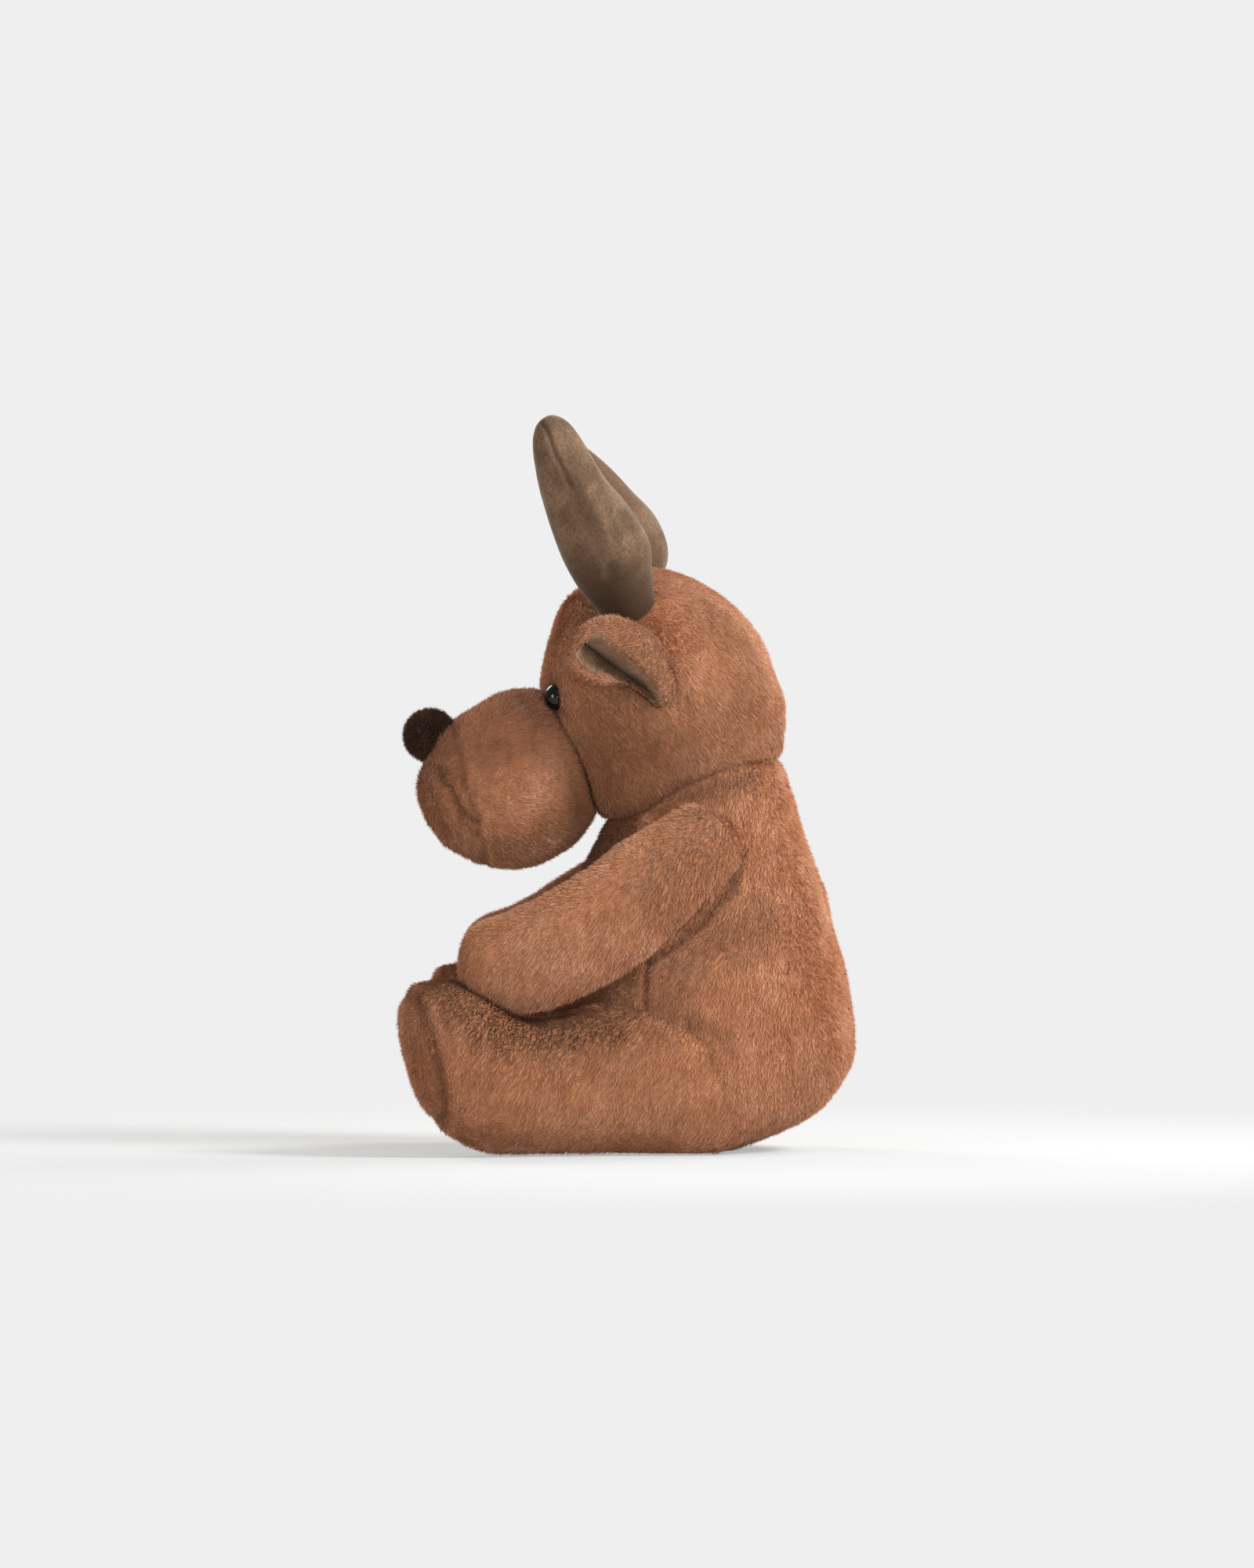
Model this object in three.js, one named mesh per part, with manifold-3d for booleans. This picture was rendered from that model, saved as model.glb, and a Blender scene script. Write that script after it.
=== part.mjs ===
// A stuffed plush deer that sits on its seat with both legs stretched out in front.
// It is sewn from pile fabric skins that hold loose polyester filling. Millimetres, +Z up, the deer
// faces -Y and its left side is +X. The origin is on the floor, under the middle of the whole toy.

import * as THREE from 'three';
import { mergeVertices } from 'three/addons/utils/BufferGeometryUtils.js';
import Module from 'manifold-3d';

const wasm = await Module();
wasm.setup();

// Cloth and fits
const skinThickness = 2.4; // woven backing and its pile
const liningThickness = 1.2; // smooth velour inside the ears
const clearance = 0.3; // between pieces that touch
const flatDepth = 0.5; // how deep the floor presses the underside flat
const cutOverrun = 5; // how far a cutting shape runs past what it cuts
const weldDistance = 0.0003; // points closer than this are one point
const liningGap = 0.9; // between the ear's curled cover and its lining
const washerGap = 0.9; // between the skin's back and the eye's washer
const pawGap = 0.6; // between the paw and the leg that it rests on

// Torso
const torsoHeight = 176;
const torsoDepth = 135;
const torsoWidth = 123;

// Neck: a tight ball of filling that carries the head
const neckRadius = 35;
const neckSink = 17.5; // how deep the ball's centre lies below the torso's top
const neckForward = 3;
const neckTilt = 20; // degrees, the neck seam's fall towards the front
const neckHoleDiameter = 40; // where the filling of the head and torso meets the ball
const neckTurnAngle = 20; // degrees, to each side
const nodAngle = 5; // degrees, up and down
const nodEase = 0.5; // degrees left over at each limit

// Head
const headHeight = 109;
const headDepth = 107;
const headWidth = 105;
const headDrop = 14.5; // the head's lowest point, below the ball's centre
const headForward = 13; // its middle, in front of the ball's centre

// Muzzle, from its seam with the head to its front
const muzzleLength = 69;
const muzzleHeight = 76;
const muzzleWidth = 71;
const muzzleTilt = 24; // degrees below level
const muzzleSeamDepth = 7; // how far its open end reaches into the head
const muzzleForwardShare = 0.387; // where its middle line meets the head, from the head's centre
const muzzleDropShare = 0.22;
const muzzleFrontDepth = 27; // of the sewn front panel
const muzzleFrontTilt = 14; // degrees below level
const noseDiameter = 24;
const noseSink = 9; // how far the pile ball presses into the muzzle
const noseAlong = 31; // where its direction starts, in front of the muzzle's seam
const noseDrop = 4; // and below the muzzle's middle line
const noseRiseAngle = 38; // degrees, from level up to its direction

// Plastic safety eyes
const eyeDiameter = 12;
const eyeHeight = 5;
const eyeSide = 19; // from the head's middle plane
const eyeForward = 48; // in front of the head's middle
const eyeDrop = 1.5; // below the head's middle
const shankDiameter = 4.4;
const shankLength = 11;
const washerDiameter = 15;
const washerThickness = 2;

// Ears
const earLength = 50;
const earWidth = 40; // laid flat
const earRimMargin = 4; // fur that shows round the lining
const earRootRise = 6; // above the head's middle
const earOutwards = 26; // the ear's direction
const earForwards = 35;
const earUpwards = 29;
const earOpenOutwards = 65; // where its hollow side faces
const earOpenForwards = 13;
const earOpenDown = 75;
const earFlapAngle = 15; // degrees, forwards and backwards

// Antlers
const antlerHeight = 85;
const antlerThickness = 38;
const antlerRootRadius = 12;
const antlerSink = 3; // how deep the root ball's centre lies under the head's skin
const antlerSide = 36; // its root's direction from the head's centre: outwards
const antlerForward = 15;
const antlerRise = 38;
const prongLength = 42;
const prongDiameter = 25;
const prongSide = 8; // its root, from the antler's root
const prongForward = 8;
const prongHeight = 27;
const leftAntlerLeanAngle = -2; // degrees, backwards
const rightAntlerLeanAngle = 6;
const rightAntlerDroopAngle = 10; // degrees, outwards
const antlerSwayAngle = 8; // degrees, forwards and backwards

// Arms
const armReach = 96; // shoulder centre to the middle of the paw
const armWidth = 45;
const armThickness = 36;
const shoulderRadius = 19.5;
const shoulderDrop = 45; // below the torso's top
const shoulderForward = 3; // in front of the torso's middle line
const shoulderSink = 3; // how deep the round shoulder's centre lies under the torso's side
const armSeamLeanShare = 0.31; // how far the shoulder's seam leans forward, as a share of its rise
const armHingeBack = 22; // the seam's rear edge, behind the round shoulder's centre
const armHingeRise = 8;
const armSpreadAngle = 40; // degrees, outwards

// Legs
const legLength = 128; // its root's centre to the front of the foot
const footHeight = 76;
const legWidth = 59;
const hipRadius = 28.5;
const hipSide = 34;
const hipForward = 4;
const legSplayAngle = 15; // degrees, outwards
const legHingeSide = 61; // the outer edge of its seam with the torso
const legHingeBack = 14;
const soleDepth = 12; // of the sewn sole panel
const soleTiltAngle = 11; // degrees, its top leans forward
const legSpreadAngle = 12; // degrees, outwards

// Outlines, as shares of each form's own sizes: [height, front, back, width]
const torsoShares = [
  [-0.003, -0.26, 0.08, 0.5],
  [0.034, -0.32, 0.19, 0.76],
  [0.08, -0.35, 0.334, 0.86],
  [0.125, -0.375, 0.422, 0.93],
  [0.21, -0.43, 0.49, 0.975],
  [0.295, -0.48, 0.5, 0.99],
  [0.38, -0.5, 0.49, 0.985],
  [0.466, -0.481, 0.468, 0.945],
  [0.551, -0.448, 0.435, 0.885],
  [0.636, -0.411, 0.405, 0.82],
  [0.722, -0.37, 0.367, 0.75],
  [0.801, -0.315, 0.332, 0.685],
  [0.886, -0.25, 0.3, 0.65],
  [0.955, -0.14, 0.262, 0.57],
  [1, 0.02, 0.2, 0.3],
];
const headShares = [
  [0, -0.23, -0.02, 0.36],
  [0.03, -0.27, 0.06, 0.55],
  [0.07, -0.3, 0.14, 0.66],
  [0.13, -0.333, 0.245, 0.75],
  [0.19, -0.366, 0.372, 0.82],
  [0.27, -0.413, 0.47, 0.89],
  [0.37, -0.455, 0.496, 0.96],
  [0.47, -0.49, 0.493, 0.99],
  [0.57, -0.5, 0.465, 1],
  [0.66, -0.488, 0.433, 0.98],
  [0.74, -0.467, 0.39, 0.93],
  [0.82, -0.441, 0.325, 0.84],
  [0.89, -0.394, 0.245, 0.71],
  [0.95, -0.31, 0.148, 0.52],
  [0.985, -0.198, 0.054, 0.3],
  [1, -0.11, -0.02, 0.12],
];
// [distance from the seam, top, bottom, width]
const muzzleShares = [
  [0, 0.385, -0.395, 0.76],
  [0.11, 0.435, -0.467, 0.88],
  [0.21, 0.46, -0.5, 0.95],
  [0.39, 0.465, -0.533, 1],
  [0.51, 0.457, -0.513, 0.99],
  [0.63, 0.428, -0.467, 0.95],
  [0.76, 0.355, -0.382, 0.85],
  [0.86, 0.276, -0.29, 0.7],
  [0.94, 0.2, -0.21, 0.5],
  [0.985, 0.07, -0.09, 0.2],
];
// [along the leg], [top, bottom] in shares of the foot's height, then shares of the width and sole tilt
const legShares = [
  [0.1, 0.85, -0.007, 1.03, 0],
  [0.17, 0.87, -0.007, 1.03, 0],
  [0.31, 0.84, -0.007, 0.98, 0],
  [0.48, 0.775, -0.007, 0.93, 0],
  [0.6, 0.8, -0.007, 0.95, 0],
  [0.71, 0.91, 0, 0.99, 0.3],
  [0.8, 1, 0.02, 1, 0.7],
  [0.88, 1.01, 0.035, 0.98, 1],
  [0.935, 0.97, 0.1, 0.87, 1],
  [0.973, 0.88, 0.22, 0.64, 1],
  [0.992, 0.75, 0.4, 0.32, 1],
];
// [outward, forward, up] in shares of the arm's reach, then width and thickness shares
const armShares = [
  [0.13, 0.19, -0.11, 0.93, 1.03],
  [0.2, 0.36, -0.22, 0.98, 1],
  [0.235, 0.54, -0.35, 1.02, 0.98],
  [0.225, 0.7, -0.45, 1.02, 0.98],
  [0.205, 0.85, -0.505, 1, 0.95],
  [0.195, 0.965, -0.513, 0.9, 0.84],
  [0.19, 1.04, -0.52, 0.7, 0.64],
  [0.187, 1.08, -0.522, 0.4, 0.34],
];
// [outward, forward, up] in shares of the antler's height, then the thickness share
const antlerShares = [
  [0.02, 0.06, 0.13, 0.82],
  [0.045, 0.1, 0.24, 0.96],
  [0.07, 0.135, 0.34, 1],
  [0.095, 0.18, 0.46, 0.95],
  [0.12, 0.225, 0.57, 0.87],
  [0.14, 0.265, 0.68, 0.75],
  [0.155, 0.305, 0.79, 0.62],
  [0.165, 0.335, 0.88, 0.48],
  [0.17, 0.355, 0.95, 0.3],
];
// [outward, forward, up] in shares of the prong's length, then the thickness share
const prongShares = [
  [0, 0, 0, 1],
  [0.35, -0.06, 0.08, 1.02],
  [0.62, -0.11, 0.22, 0.95],
  [0.8, -0.13, 0.36, 0.75],
  [0.89, -0.14, 0.44, 0.45],
];
// [along the ear, width share, turn of its curled cross-section in degrees]
const earShares = [
  [0, 0.5, 220],
  [0.2, 0.72, 200],
  [0.42, 0.93, 170],
  [0.62, 1, 145],
  [0.8, 0.9, 125],
  [0.93, 0.62, 115],
  [1, 0.25, 110],
];

// Facets: fine outside, coarser inside where nothing shows
const outerAround = 16;
const innerAround = 8;
const limbAround = 12;
const ballAround = 16;
const ballRise = 10;
const innerBallAround = 10;
const innerBallRise = 6;
const roundAround = 8;

const up = new THREE.Vector3(0, 0, 1);
const left = new THREE.Vector3(1, 0, 0);
const forward = new THREE.Vector3(0, -1, 0);

// Colours of the toy's materials
const cloth = { roughness: 0.95, metalness: 0 };
const plastic = { metalness: 0 };
const furMaterial = new THREE.MeshStandardMaterial({ color: 0xa9714e, ...cloth });
const velourMaterial = new THREE.MeshStandardMaterial({ color: 0x7d654f, ...cloth });
const fillingMaterial = new THREE.MeshStandardMaterial({ color: 0xece8df, ...cloth });
const noseMaterial = new THREE.MeshStandardMaterial({ color: 0x3a241a, ...cloth });
const eyeMaterial = new THREE.MeshStandardMaterial({ color: 0x0c0b0b, roughness: 0.08, ...plastic });
const washerMaterial = new THREE.MeshStandardMaterial({ color: 0xe6e6e2, roughness: 0.5, ...plastic });

const vector = (x, y, z) => new THREE.Vector3(x, y, z);

// A geometry from points and the faces that join them
function geometryFrom(points, faces) {
  const geometry = new THREE.BufferGeometry();
  const places = points.flatMap((point) => point.toArray());
  geometry.setAttribute('position', new THREE.Float32BufferAttribute(places, 3));
  geometry.setIndex(faces);
  return geometry;
}

// A closed curved sheet through rows of points, its outer face and its inner face
function closedSheet(outerRows, innerRows) {
  const across = outerRows[0].length;
  const around = 2 * across;
  const points = outerRows.flatMap((row, i) => [...row, ...innerRows[i].toReversed()]);
  const faces = [];
  const lastRow = (outerRows.length - 1) * around;
  for (let row = 0; row < lastRow; row += around) {
    for (let i = 0; i < around; i++) {
      const near = row + i;
      const beside = row + ((i + 1) % around);
      faces.push(near, near + around, beside, beside, near + around, beside + around);
    }
  }
  for (let i = 0; i + 1 < across; i++) {
    const opposite = around - 1 - i;
    faces.push(i, i + 1, opposite, opposite, i + 1, opposite - 1);
    faces.push(lastRow + i, lastRow + opposite, lastRow + i + 1);
    faces.push(lastRow + opposite, lastRow + opposite - 1, lastRow + i + 1);
  }
  return geometryFrom(points, faces);
}

// A closed form through oval rings, each a centre with two half axes. side x lift points along the form.
// Its facets are split the same way on both sides.
function closedForm(rings, around) {
  const points = [];
  for (const { centre, side, lift } of rings) {
    for (let i = 0; i < around; i++) {
      const angle = (2 * Math.PI * i) / around;
      const point = centre.clone().addScaledVector(side, Math.cos(angle));
      points.push(point.addScaledVector(lift, Math.sin(angle)));
    }
  }
  const start = points.push(rings[0].tip ?? rings[0].centre) - 1;
  const end = points.push(rings.at(-1).tip ?? rings.at(-1).centre) - 1;
  const lastRing = (rings.length - 1) * around;
  const faces = [];
  for (let i = 0; i < around; i++) {
    const next = (i + 1) % around;
    const nearSide = Math.cos((2 * Math.PI * (i + 1 / 2)) / around) > 0;
    for (let ring = 0; ring < lastRing; ring += around) {
      const a = ring + i;
      const b = ring + next;
      const c = b + around;
      const d = a + around;
      faces.push(...(nearSide ? [a, b, d, b, c, d] : [a, b, c, a, c, d]));
    }
    faces.push(start, next, i, end, lastRing + i, lastRing + next);
  }
  return geometryFrom(points, faces);
}

// Rows of numbers, smoothly resampled to another count
function resampled(rows, count) {
  const places = rows.map((row, i) => i);
  const curve = new THREE.CubicInterpolant(places, rows.flat(), rows[0].length);
  return Array.from({ length: count }, (unused, i) => {
    return Array.from(curve.evaluate((i * (rows.length - 1)) / (count - 1)));
  });
}

// A form of level rings stacked on each other, such as the torso. grow swells it on all sides.
function stackedForm({ base, height, depth, width, shares }, grow, around, ringCount) {
  const rings = resampled(shares, ringCount).map(([level, front, back, wide]) => ({
    centre: base.clone().add(vector(0, ((front + back) / 2) * depth, level * height)),
    side: vector((wide * width) / 2 + grow, 0, 0),
    lift: vector(0, ((back - front) / 2) * depth + grow, 0),
  }));
  rings[0].centre.addScaledVector(up, -grow);
  rings.at(-1).centre.addScaledVector(up, grow);
  return closedForm(rings, around);
}

// A limb: a round root about its joint's centre, then an oval at each station
const rootAngles = [25, 50, 75].map(THREE.MathUtils.degToRad);
const limbTipShare = 0.5; // how far its last ring bulges

function limbForm({ root, radius, stations, liftHint }, grow, around) {
  const points = [root, ...stations.map((station) => station.centre)];
  const framed = (direction) => {
    const sideWay = new THREE.Vector3().crossVectors(liftHint, direction).normalize();
    return { sideWay, liftWay: new THREE.Vector3().crossVectors(direction, sideWay).normalize() };
  };
  const rootWay = points[1].clone().sub(root).normalize();
  const { sideWay: rootSide, liftWay: rootLift } = framed(rootWay);
  const size = radius + grow;
  const rings = rootAngles.map((angle) => ({
    centre: root.clone().addScaledVector(rootWay, -size * Math.cos(angle)),
    side: rootSide.clone().multiplyScalar(size * Math.sin(angle)),
    lift: rootLift.clone().multiplyScalar(size * Math.sin(angle)),
  }));
  rings[0].tip = root.clone().addScaledVector(rootWay, -size);
  stations.forEach(({ centre, halfSide, halfLift, way: ownWay }, i) => {
    const after = points[Math.min(i + 2, points.length - 1)];
    const way = ownWay ?? after.clone().sub(points[i]).normalize();
    const { sideWay, liftWay } = framed(way);
    rings.push({
      centre: centre.clone(),
      side: sideWay.multiplyScalar(halfSide + grow),
      lift: liftWay.multiplyScalar(halfLift + grow),
      way,
    });
  });
  const last = rings.at(-1);
  const tipRise = Math.min(last.side.length(), last.lift.length()) * limbTipShare;
  last.tip = last.centre.clone().addScaledVector(last.way, tipRise);
  return closedForm(rings, around);
}

const ball = (centre, radius, around = ballAround, rise = ballRise) =>
  new THREE.SphereGeometry(radius, around, rise).translate(...centre.toArray());

// A ball whose flat facets all stay outside the given radius
function socketBall(centre, radius, around, rise) {
  const facetDip = Math.cos(Math.PI / around) * Math.cos(Math.PI / (2 * rise));
  return ball(centre, radius / facetDip, around, rise);
}

function rod(from, direction, radius, length) {
  const geometry = new THREE.CylinderGeometry(radius, radius, length, roundAround);
  geometry.translate(0, length / 2, 0);
  return standing(geometry, from, direction);
}

// Turns a shape made round +Y to stand on a point
function standing(geometry, point, direction) {
  const turn = new THREE.Quaternion().setFromUnitVectors(vector(0, 1, 0), direction);
  return geometry.applyQuaternion(turn).translate(...point.toArray());
}

function turned(geometry, pivot, axis, degrees) {
  const angle = THREE.MathUtils.degToRad(degrees);
  return geometry
    .clone()
    .translate(...pivot.clone().negate().toArray())
    .applyMatrix4(new THREE.Matrix4().makeRotationAxis(axis, angle))
    .translate(...pivot.toArray());
}

// The same geometry on the toy's other side
function mirrored(geometry) {
  const copy = geometry.clone().applyMatrix4(new THREE.Matrix4().makeScale(-1, 1, 1));
  const order = copy.index.array;
  for (let i = 0; i < order.length; i += 3) {
    [order[i + 1], order[i + 2]] = [order[i + 2], order[i + 1]];
  }
  return copy;
}

function solidOf(geometry) {
  const plain = geometry.clone();
  plain.deleteAttribute('normal');
  plain.deleteAttribute('uv');
  const merged = mergeVertices(plain, weldDistance);
  return new wasm.Manifold(
    new wasm.Mesh({
      numProp: 3,
      vertProperties: new Float32Array(merged.attributes.position.array),
      triVerts: new Uint32Array(merged.index.array),
    }),
  );
}

const cut = (solid, cutters) => cutters.reduce((rest, cutter) => rest.subtract(cutter), solid);

function geometryOf(solid) {
  const mesh = solid.getMesh();
  const geometry = new THREE.BufferGeometry();
  geometry.setAttribute('position', new THREE.Float32BufferAttribute(mesh.vertProperties, 3));
  geometry.setIndex(Array.from(mesh.triVerts));
  geometry.computeVertexNormals();
  return geometry;
}

// A block that fills the far side of a plane
function blockBeyond(point, normal) {
  const size = torsoHeight + legLength;
  const block = new THREE.BoxGeometry(size, size, size).translate(0, 0, size / 2);
  block.applyQuaternion(new THREE.Quaternion().setFromUnitVectors(up, normal.clone().normalize()));
  return solidOf(block.translate(...point.toArray()));
}

// A cover cut in two panels at its seam
function parted(cover, point, normal) {
  const half = normal.clone().setLength(clearance / 2);
  return {
    near: cover.subtract(blockBeyond(point.clone().sub(half), normal)),
    far: cover.intersect(blockBeyond(point.clone().add(half), normal)),
  };
}

// Where a line from inside a form leaves it, and the facet's outward direction there
function seatOn(form, from, direction) {
  const target = new THREE.Mesh(form, new THREE.MeshBasicMaterial({ side: THREE.DoubleSide }));
  const hit = new THREE.Raycaster(from, direction.clone().normalize()).intersectObject(target).at(-1);
  return { point: hit.point, normal: hit.face.normal.clone() };
}

// A skin and the filling inside it. An open skin ends in a seam on its carrier, where it has no wall.
// cuttersAt shapes closed places, with the skin between them and the filling.
function sewn(formAt, cuttersAt, carriers = [], mouths = []) {
  const fillingGap = skinThickness + clearance;
  const outside = cut(formAt(0), [...cuttersAt(clearance), ...carriers]);
  const hollow = cut(formAt(-skinThickness), cuttersAt(clearance + skinThickness));
  const filling = cut(formAt(-fillingGap), [...cuttersAt(clearance + fillingGap), ...carriers]);
  return { cover: cut(outside, [hollow, ...mouths]), filling };
}

const floorAt = (grow) => blockBeyond(vector(0, 0, grow - clearance), up.clone().negate());
const mixed = (grow, fine, coarse) => (grow < 0 ? coarse : fine);

// The neck's ball, and the plane that parts head from torso
const neckCentre = vector(0, -neckForward, torsoHeight - neckSink);
const tiltedUp = (degrees) => {
  const angle = THREE.MathUtils.degToRad(degrees);
  return vector(0, -Math.sin(angle), Math.cos(angle));
};
const neckAxis = tiltedUp(neckTilt);
const neckSocket = (grow) =>
  solidOf(
    grow > clearance
      ? socketBall(neckCentre, neckRadius + grow, innerBallAround, innerBallRise)
      : socketBall(neckCentre, neckRadius + grow, ballAround, ballRise),
  );
const neckHalfStep = 180 / ballAround;
const neckBall = solidOf(turned(ball(neckCentre, neckRadius), neckCentre, up, neckHalfStep));
const neckHole = solidOf(
  rod(neckCentre.clone().addScaledVector(neckAxis, -neckRadius - cutOverrun), neckAxis,
    neckHoleDiameter / 2, 2 * (neckRadius + cutOverrun)),
);

// Torso form, standing on the floor
const torso = {
  base: vector(0, 0, 0),
  height: torsoHeight,
  depth: torsoDepth,
  width: torsoWidth,
  shares: torsoShares,
};
const torsoInnerRings = 7;
const torsoForm = (grow) =>
  stackedForm(torso, grow, mixed(grow, outerAround, innerAround),
    mixed(grow, torsoShares.length, torsoInnerRings));

// Shoulder, on the toy's left
const shoulderSeat = seatOn(torsoForm(0), vector(0, -shoulderForward, torsoHeight - shoulderDrop), left);
const shoulderCentre = shoulderSeat.point.clone().addScaledVector(left, -shoulderSink);
const shoulderAxis = vector(0, -armSeamLeanShare, 1).normalize();
const shoulderHinge = shoulderCentre.clone().add(vector(0, armHingeBack, armHingeRise));

// Hip, on the toy's left
const splayAngle = THREE.MathUtils.degToRad(legSplayAngle);
const legWay = vector(Math.sin(splayAngle), -Math.cos(splayAngle), 0);
const hipCentre = vector(hipSide, -hipForward, hipRadius - flatDepth);
const hipHinge = vector(legHingeSide, legHingeBack, hipRadius);

const onBothSides = (geometry) => [solidOf(geometry), solidOf(mirrored(geometry))];

const torsoSewn = sewn(
  (grow) => solidOf(torsoForm(grow)),
  (grow) => [
    floorAt(grow),
    blockBeyond(neckCentre.clone().addScaledVector(neckAxis, clearance - grow), neckAxis),
    neckSocket(grow),
  ],
  [],
  [neckHole],
);

// Head form, carried by the neck's ball
const headBase = neckCentre.clone().addScaledVector(up, -headDrop).addScaledVector(forward, headForward);
const head = {
  base: headBase,
  height: headHeight,
  depth: headDepth,
  width: headWidth,
  shares: headShares,
};
const headInnerRings = 7;
const headForm = (grow) =>
  stackedForm(head, grow, mixed(grow, outerAround, innerAround),
    mixed(grow, headShares.length, headInnerRings));
const headCentre = headBase.clone().addScaledVector(up, headHeight / 2);
const headGrown = solidOf(headForm(clearance));

// Eye on the toy's left: a domed button whose shank goes through the skin to a washer
const eyeSeat = seatOn(headForm(0), headCentre, vector(eyeSide, -eyeForward, -eyeDrop));
const eyeSteps = 4;
const eyeStart = eyeSeat.point.clone().addScaledVector(eyeSeat.normal, clearance);

function eyeGeometry() {
  const profile = [new THREE.Vector2(0, -shankLength), new THREE.Vector2(shankDiameter / 2, -shankLength)];
  profile.push(new THREE.Vector2(shankDiameter / 2, 0));
  for (let i = 0; i <= eyeSteps; i++) {
    const angle = (Math.PI * i) / (2 * eyeSteps);
    profile.push(new THREE.Vector2((eyeDiameter / 2) * Math.cos(angle), eyeHeight * Math.sin(angle)));
  }
  profile.at(-1).x = 0;
  return standing(new THREE.LatheGeometry(profile, roundAround), eyeStart, eyeSeat.normal);
}

const washerDepth = skinThickness + washerGap;
const washerStart = eyeStart.clone().addScaledVector(eyeSeat.normal, -washerDepth - washerThickness);
const shankHole = rod(eyeStart.clone().addScaledVector(eyeSeat.normal, -shankLength - clearance),
  eyeSeat.normal, shankDiameter / 2 + clearance, shankLength + cutOverrun);
const washerPocket = rod(washerStart.clone().addScaledVector(eyeSeat.normal, -clearance),
  eyeSeat.normal, washerDiameter / 2 + clearance, washerThickness + 2 * clearance);
const eyeSurround = rod(eyeStart.clone().addScaledVector(eyeSeat.normal, -clearance),
  eyeSeat.normal, eyeDiameter / 2 + clearance, eyeHeight + cutOverrun);
const washer = solidOf(rod(washerStart, eyeSeat.normal, washerDiameter / 2, washerThickness))
  .subtract(solidOf(shankHole));

// Muzzle form, sewn to the head's lower front
const muzzleUp = tiltedUp(muzzleTilt);
const muzzleWay = vector(0, -muzzleUp.z, muzzleUp.y);
const muzzleAim = vector(0, -muzzleForwardShare * headDepth, -muzzleDropShare * headHeight);
const muzzleSeat = seatOn(headForm(0), headCentre, muzzleAim).point;
const muzzleInnerRings = 6;

function muzzleForm(grow) {
  const around = mixed(grow, outerAround, innerAround);
  const rows = resampled(muzzleShares, mixed(grow, muzzleShares.length, muzzleInnerRings));
  const rings = rows.map(([along, top, bottom, wide]) => ({
    centre: muzzleSeat
      .clone()
      .addScaledVector(muzzleWay, along * muzzleLength)
      .addScaledVector(muzzleUp, ((top + bottom) / 2) * muzzleHeight),
    side: vector((wide * muzzleWidth) / 2 + grow, 0, 0),
    lift: muzzleUp.clone().multiplyScalar(((top - bottom) / 2) * muzzleHeight + grow),
  }));
  const insideCentre = rings[0].centre.clone().addScaledVector(muzzleWay, -muzzleSeamDepth);
  const inside = { ...rings[0], centre: insideCentre };
  rings.at(-1).centre.addScaledVector(muzzleWay, grow);
  return closedForm([inside, ...rings], around);
}

// Pompom nose on the muzzle's upper front
const noseStart = muzzleSeat
  .clone()
  .addScaledVector(muzzleWay, noseAlong)
  .addScaledVector(muzzleUp, -noseDrop);
const noseWay = tiltedUp(90 - noseRiseAngle);
const noseSeat = seatOn(muzzleForm(0), noseStart, noseWay);
const noseCentre = noseSeat.point.clone().addScaledVector(noseWay, noseDiameter / 2 - noseSink);
const noseBall = ball(noseCentre, noseDiameter / 2, limbAround, innerAround);
const nose = cut(solidOf(noseBall), [solidOf(muzzleForm(clearance))]);

const muzzleSewn = sewn((grow) => solidOf(muzzleForm(grow)), () => onBothSides(eyeSurround), [headGrown]);
const muzzleFrontWay = tiltedUp(muzzleFrontTilt - 90).negate();
const muzzleFrontSeam = muzzleSeat.clone().addScaledVector(muzzleWay, muzzleLength - muzzleFrontDepth);
const muzzlePanels = parted(muzzleSewn.cover, muzzleFrontSeam, muzzleFrontWay);

// Antler on the toy's left: a beam and a short outward prong, rooted in the head's top
const antlerSeat = seatOn(headForm(0), headCentre, vector(antlerSide, -antlerForward, antlerRise));
const antlerRoot = antlerSeat.point.clone().addScaledVector(antlerSeat.normal, -antlerSink);
const stationsFrom = (start, shares, reach, thickness) =>
  shares.map(([out, ahead, rise, thick]) => ({
    centre: start.clone().add(vector(out, -ahead, rise).multiplyScalar(reach)),
    halfSide: (thick * thickness) / 2,
    halfLift: (thick * thickness) / 2,
  }));
const beam = {
  root: antlerRoot,
  radius: antlerRootRadius,
  stations: stationsFrom(antlerRoot, antlerShares, antlerHeight, antlerThickness),
  liftHint: left,
};
const prongRoot = antlerRoot.clone().add(vector(prongSide, -prongForward, prongHeight));
const prong = {
  root: prongRoot,
  radius: prongDiameter / 2,
  stations: stationsFrom(prongRoot, prongShares, prongLength, prongDiameter),
  liftHint: forward,
};

// What turns beside a form is cut by that form as it lies at each of these angles
const swept = (form, pivot, axis, angles) =>
  angles.map((angle) => solidOf(turned(form, pivot, axis, angle)));
const sweptHead = (pivot, axis, limit) => swept(headForm(clearance), pivot, axis, [-limit, limit]);

const limbShape = (limbs) => (grow) => {
  const around = mixed(grow, limbAround, innerAround);
  return limbs.map((limb) => solidOf(limbForm(limb, grow, around))).reduce((sum, next) => sum.add(next));
};

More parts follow.
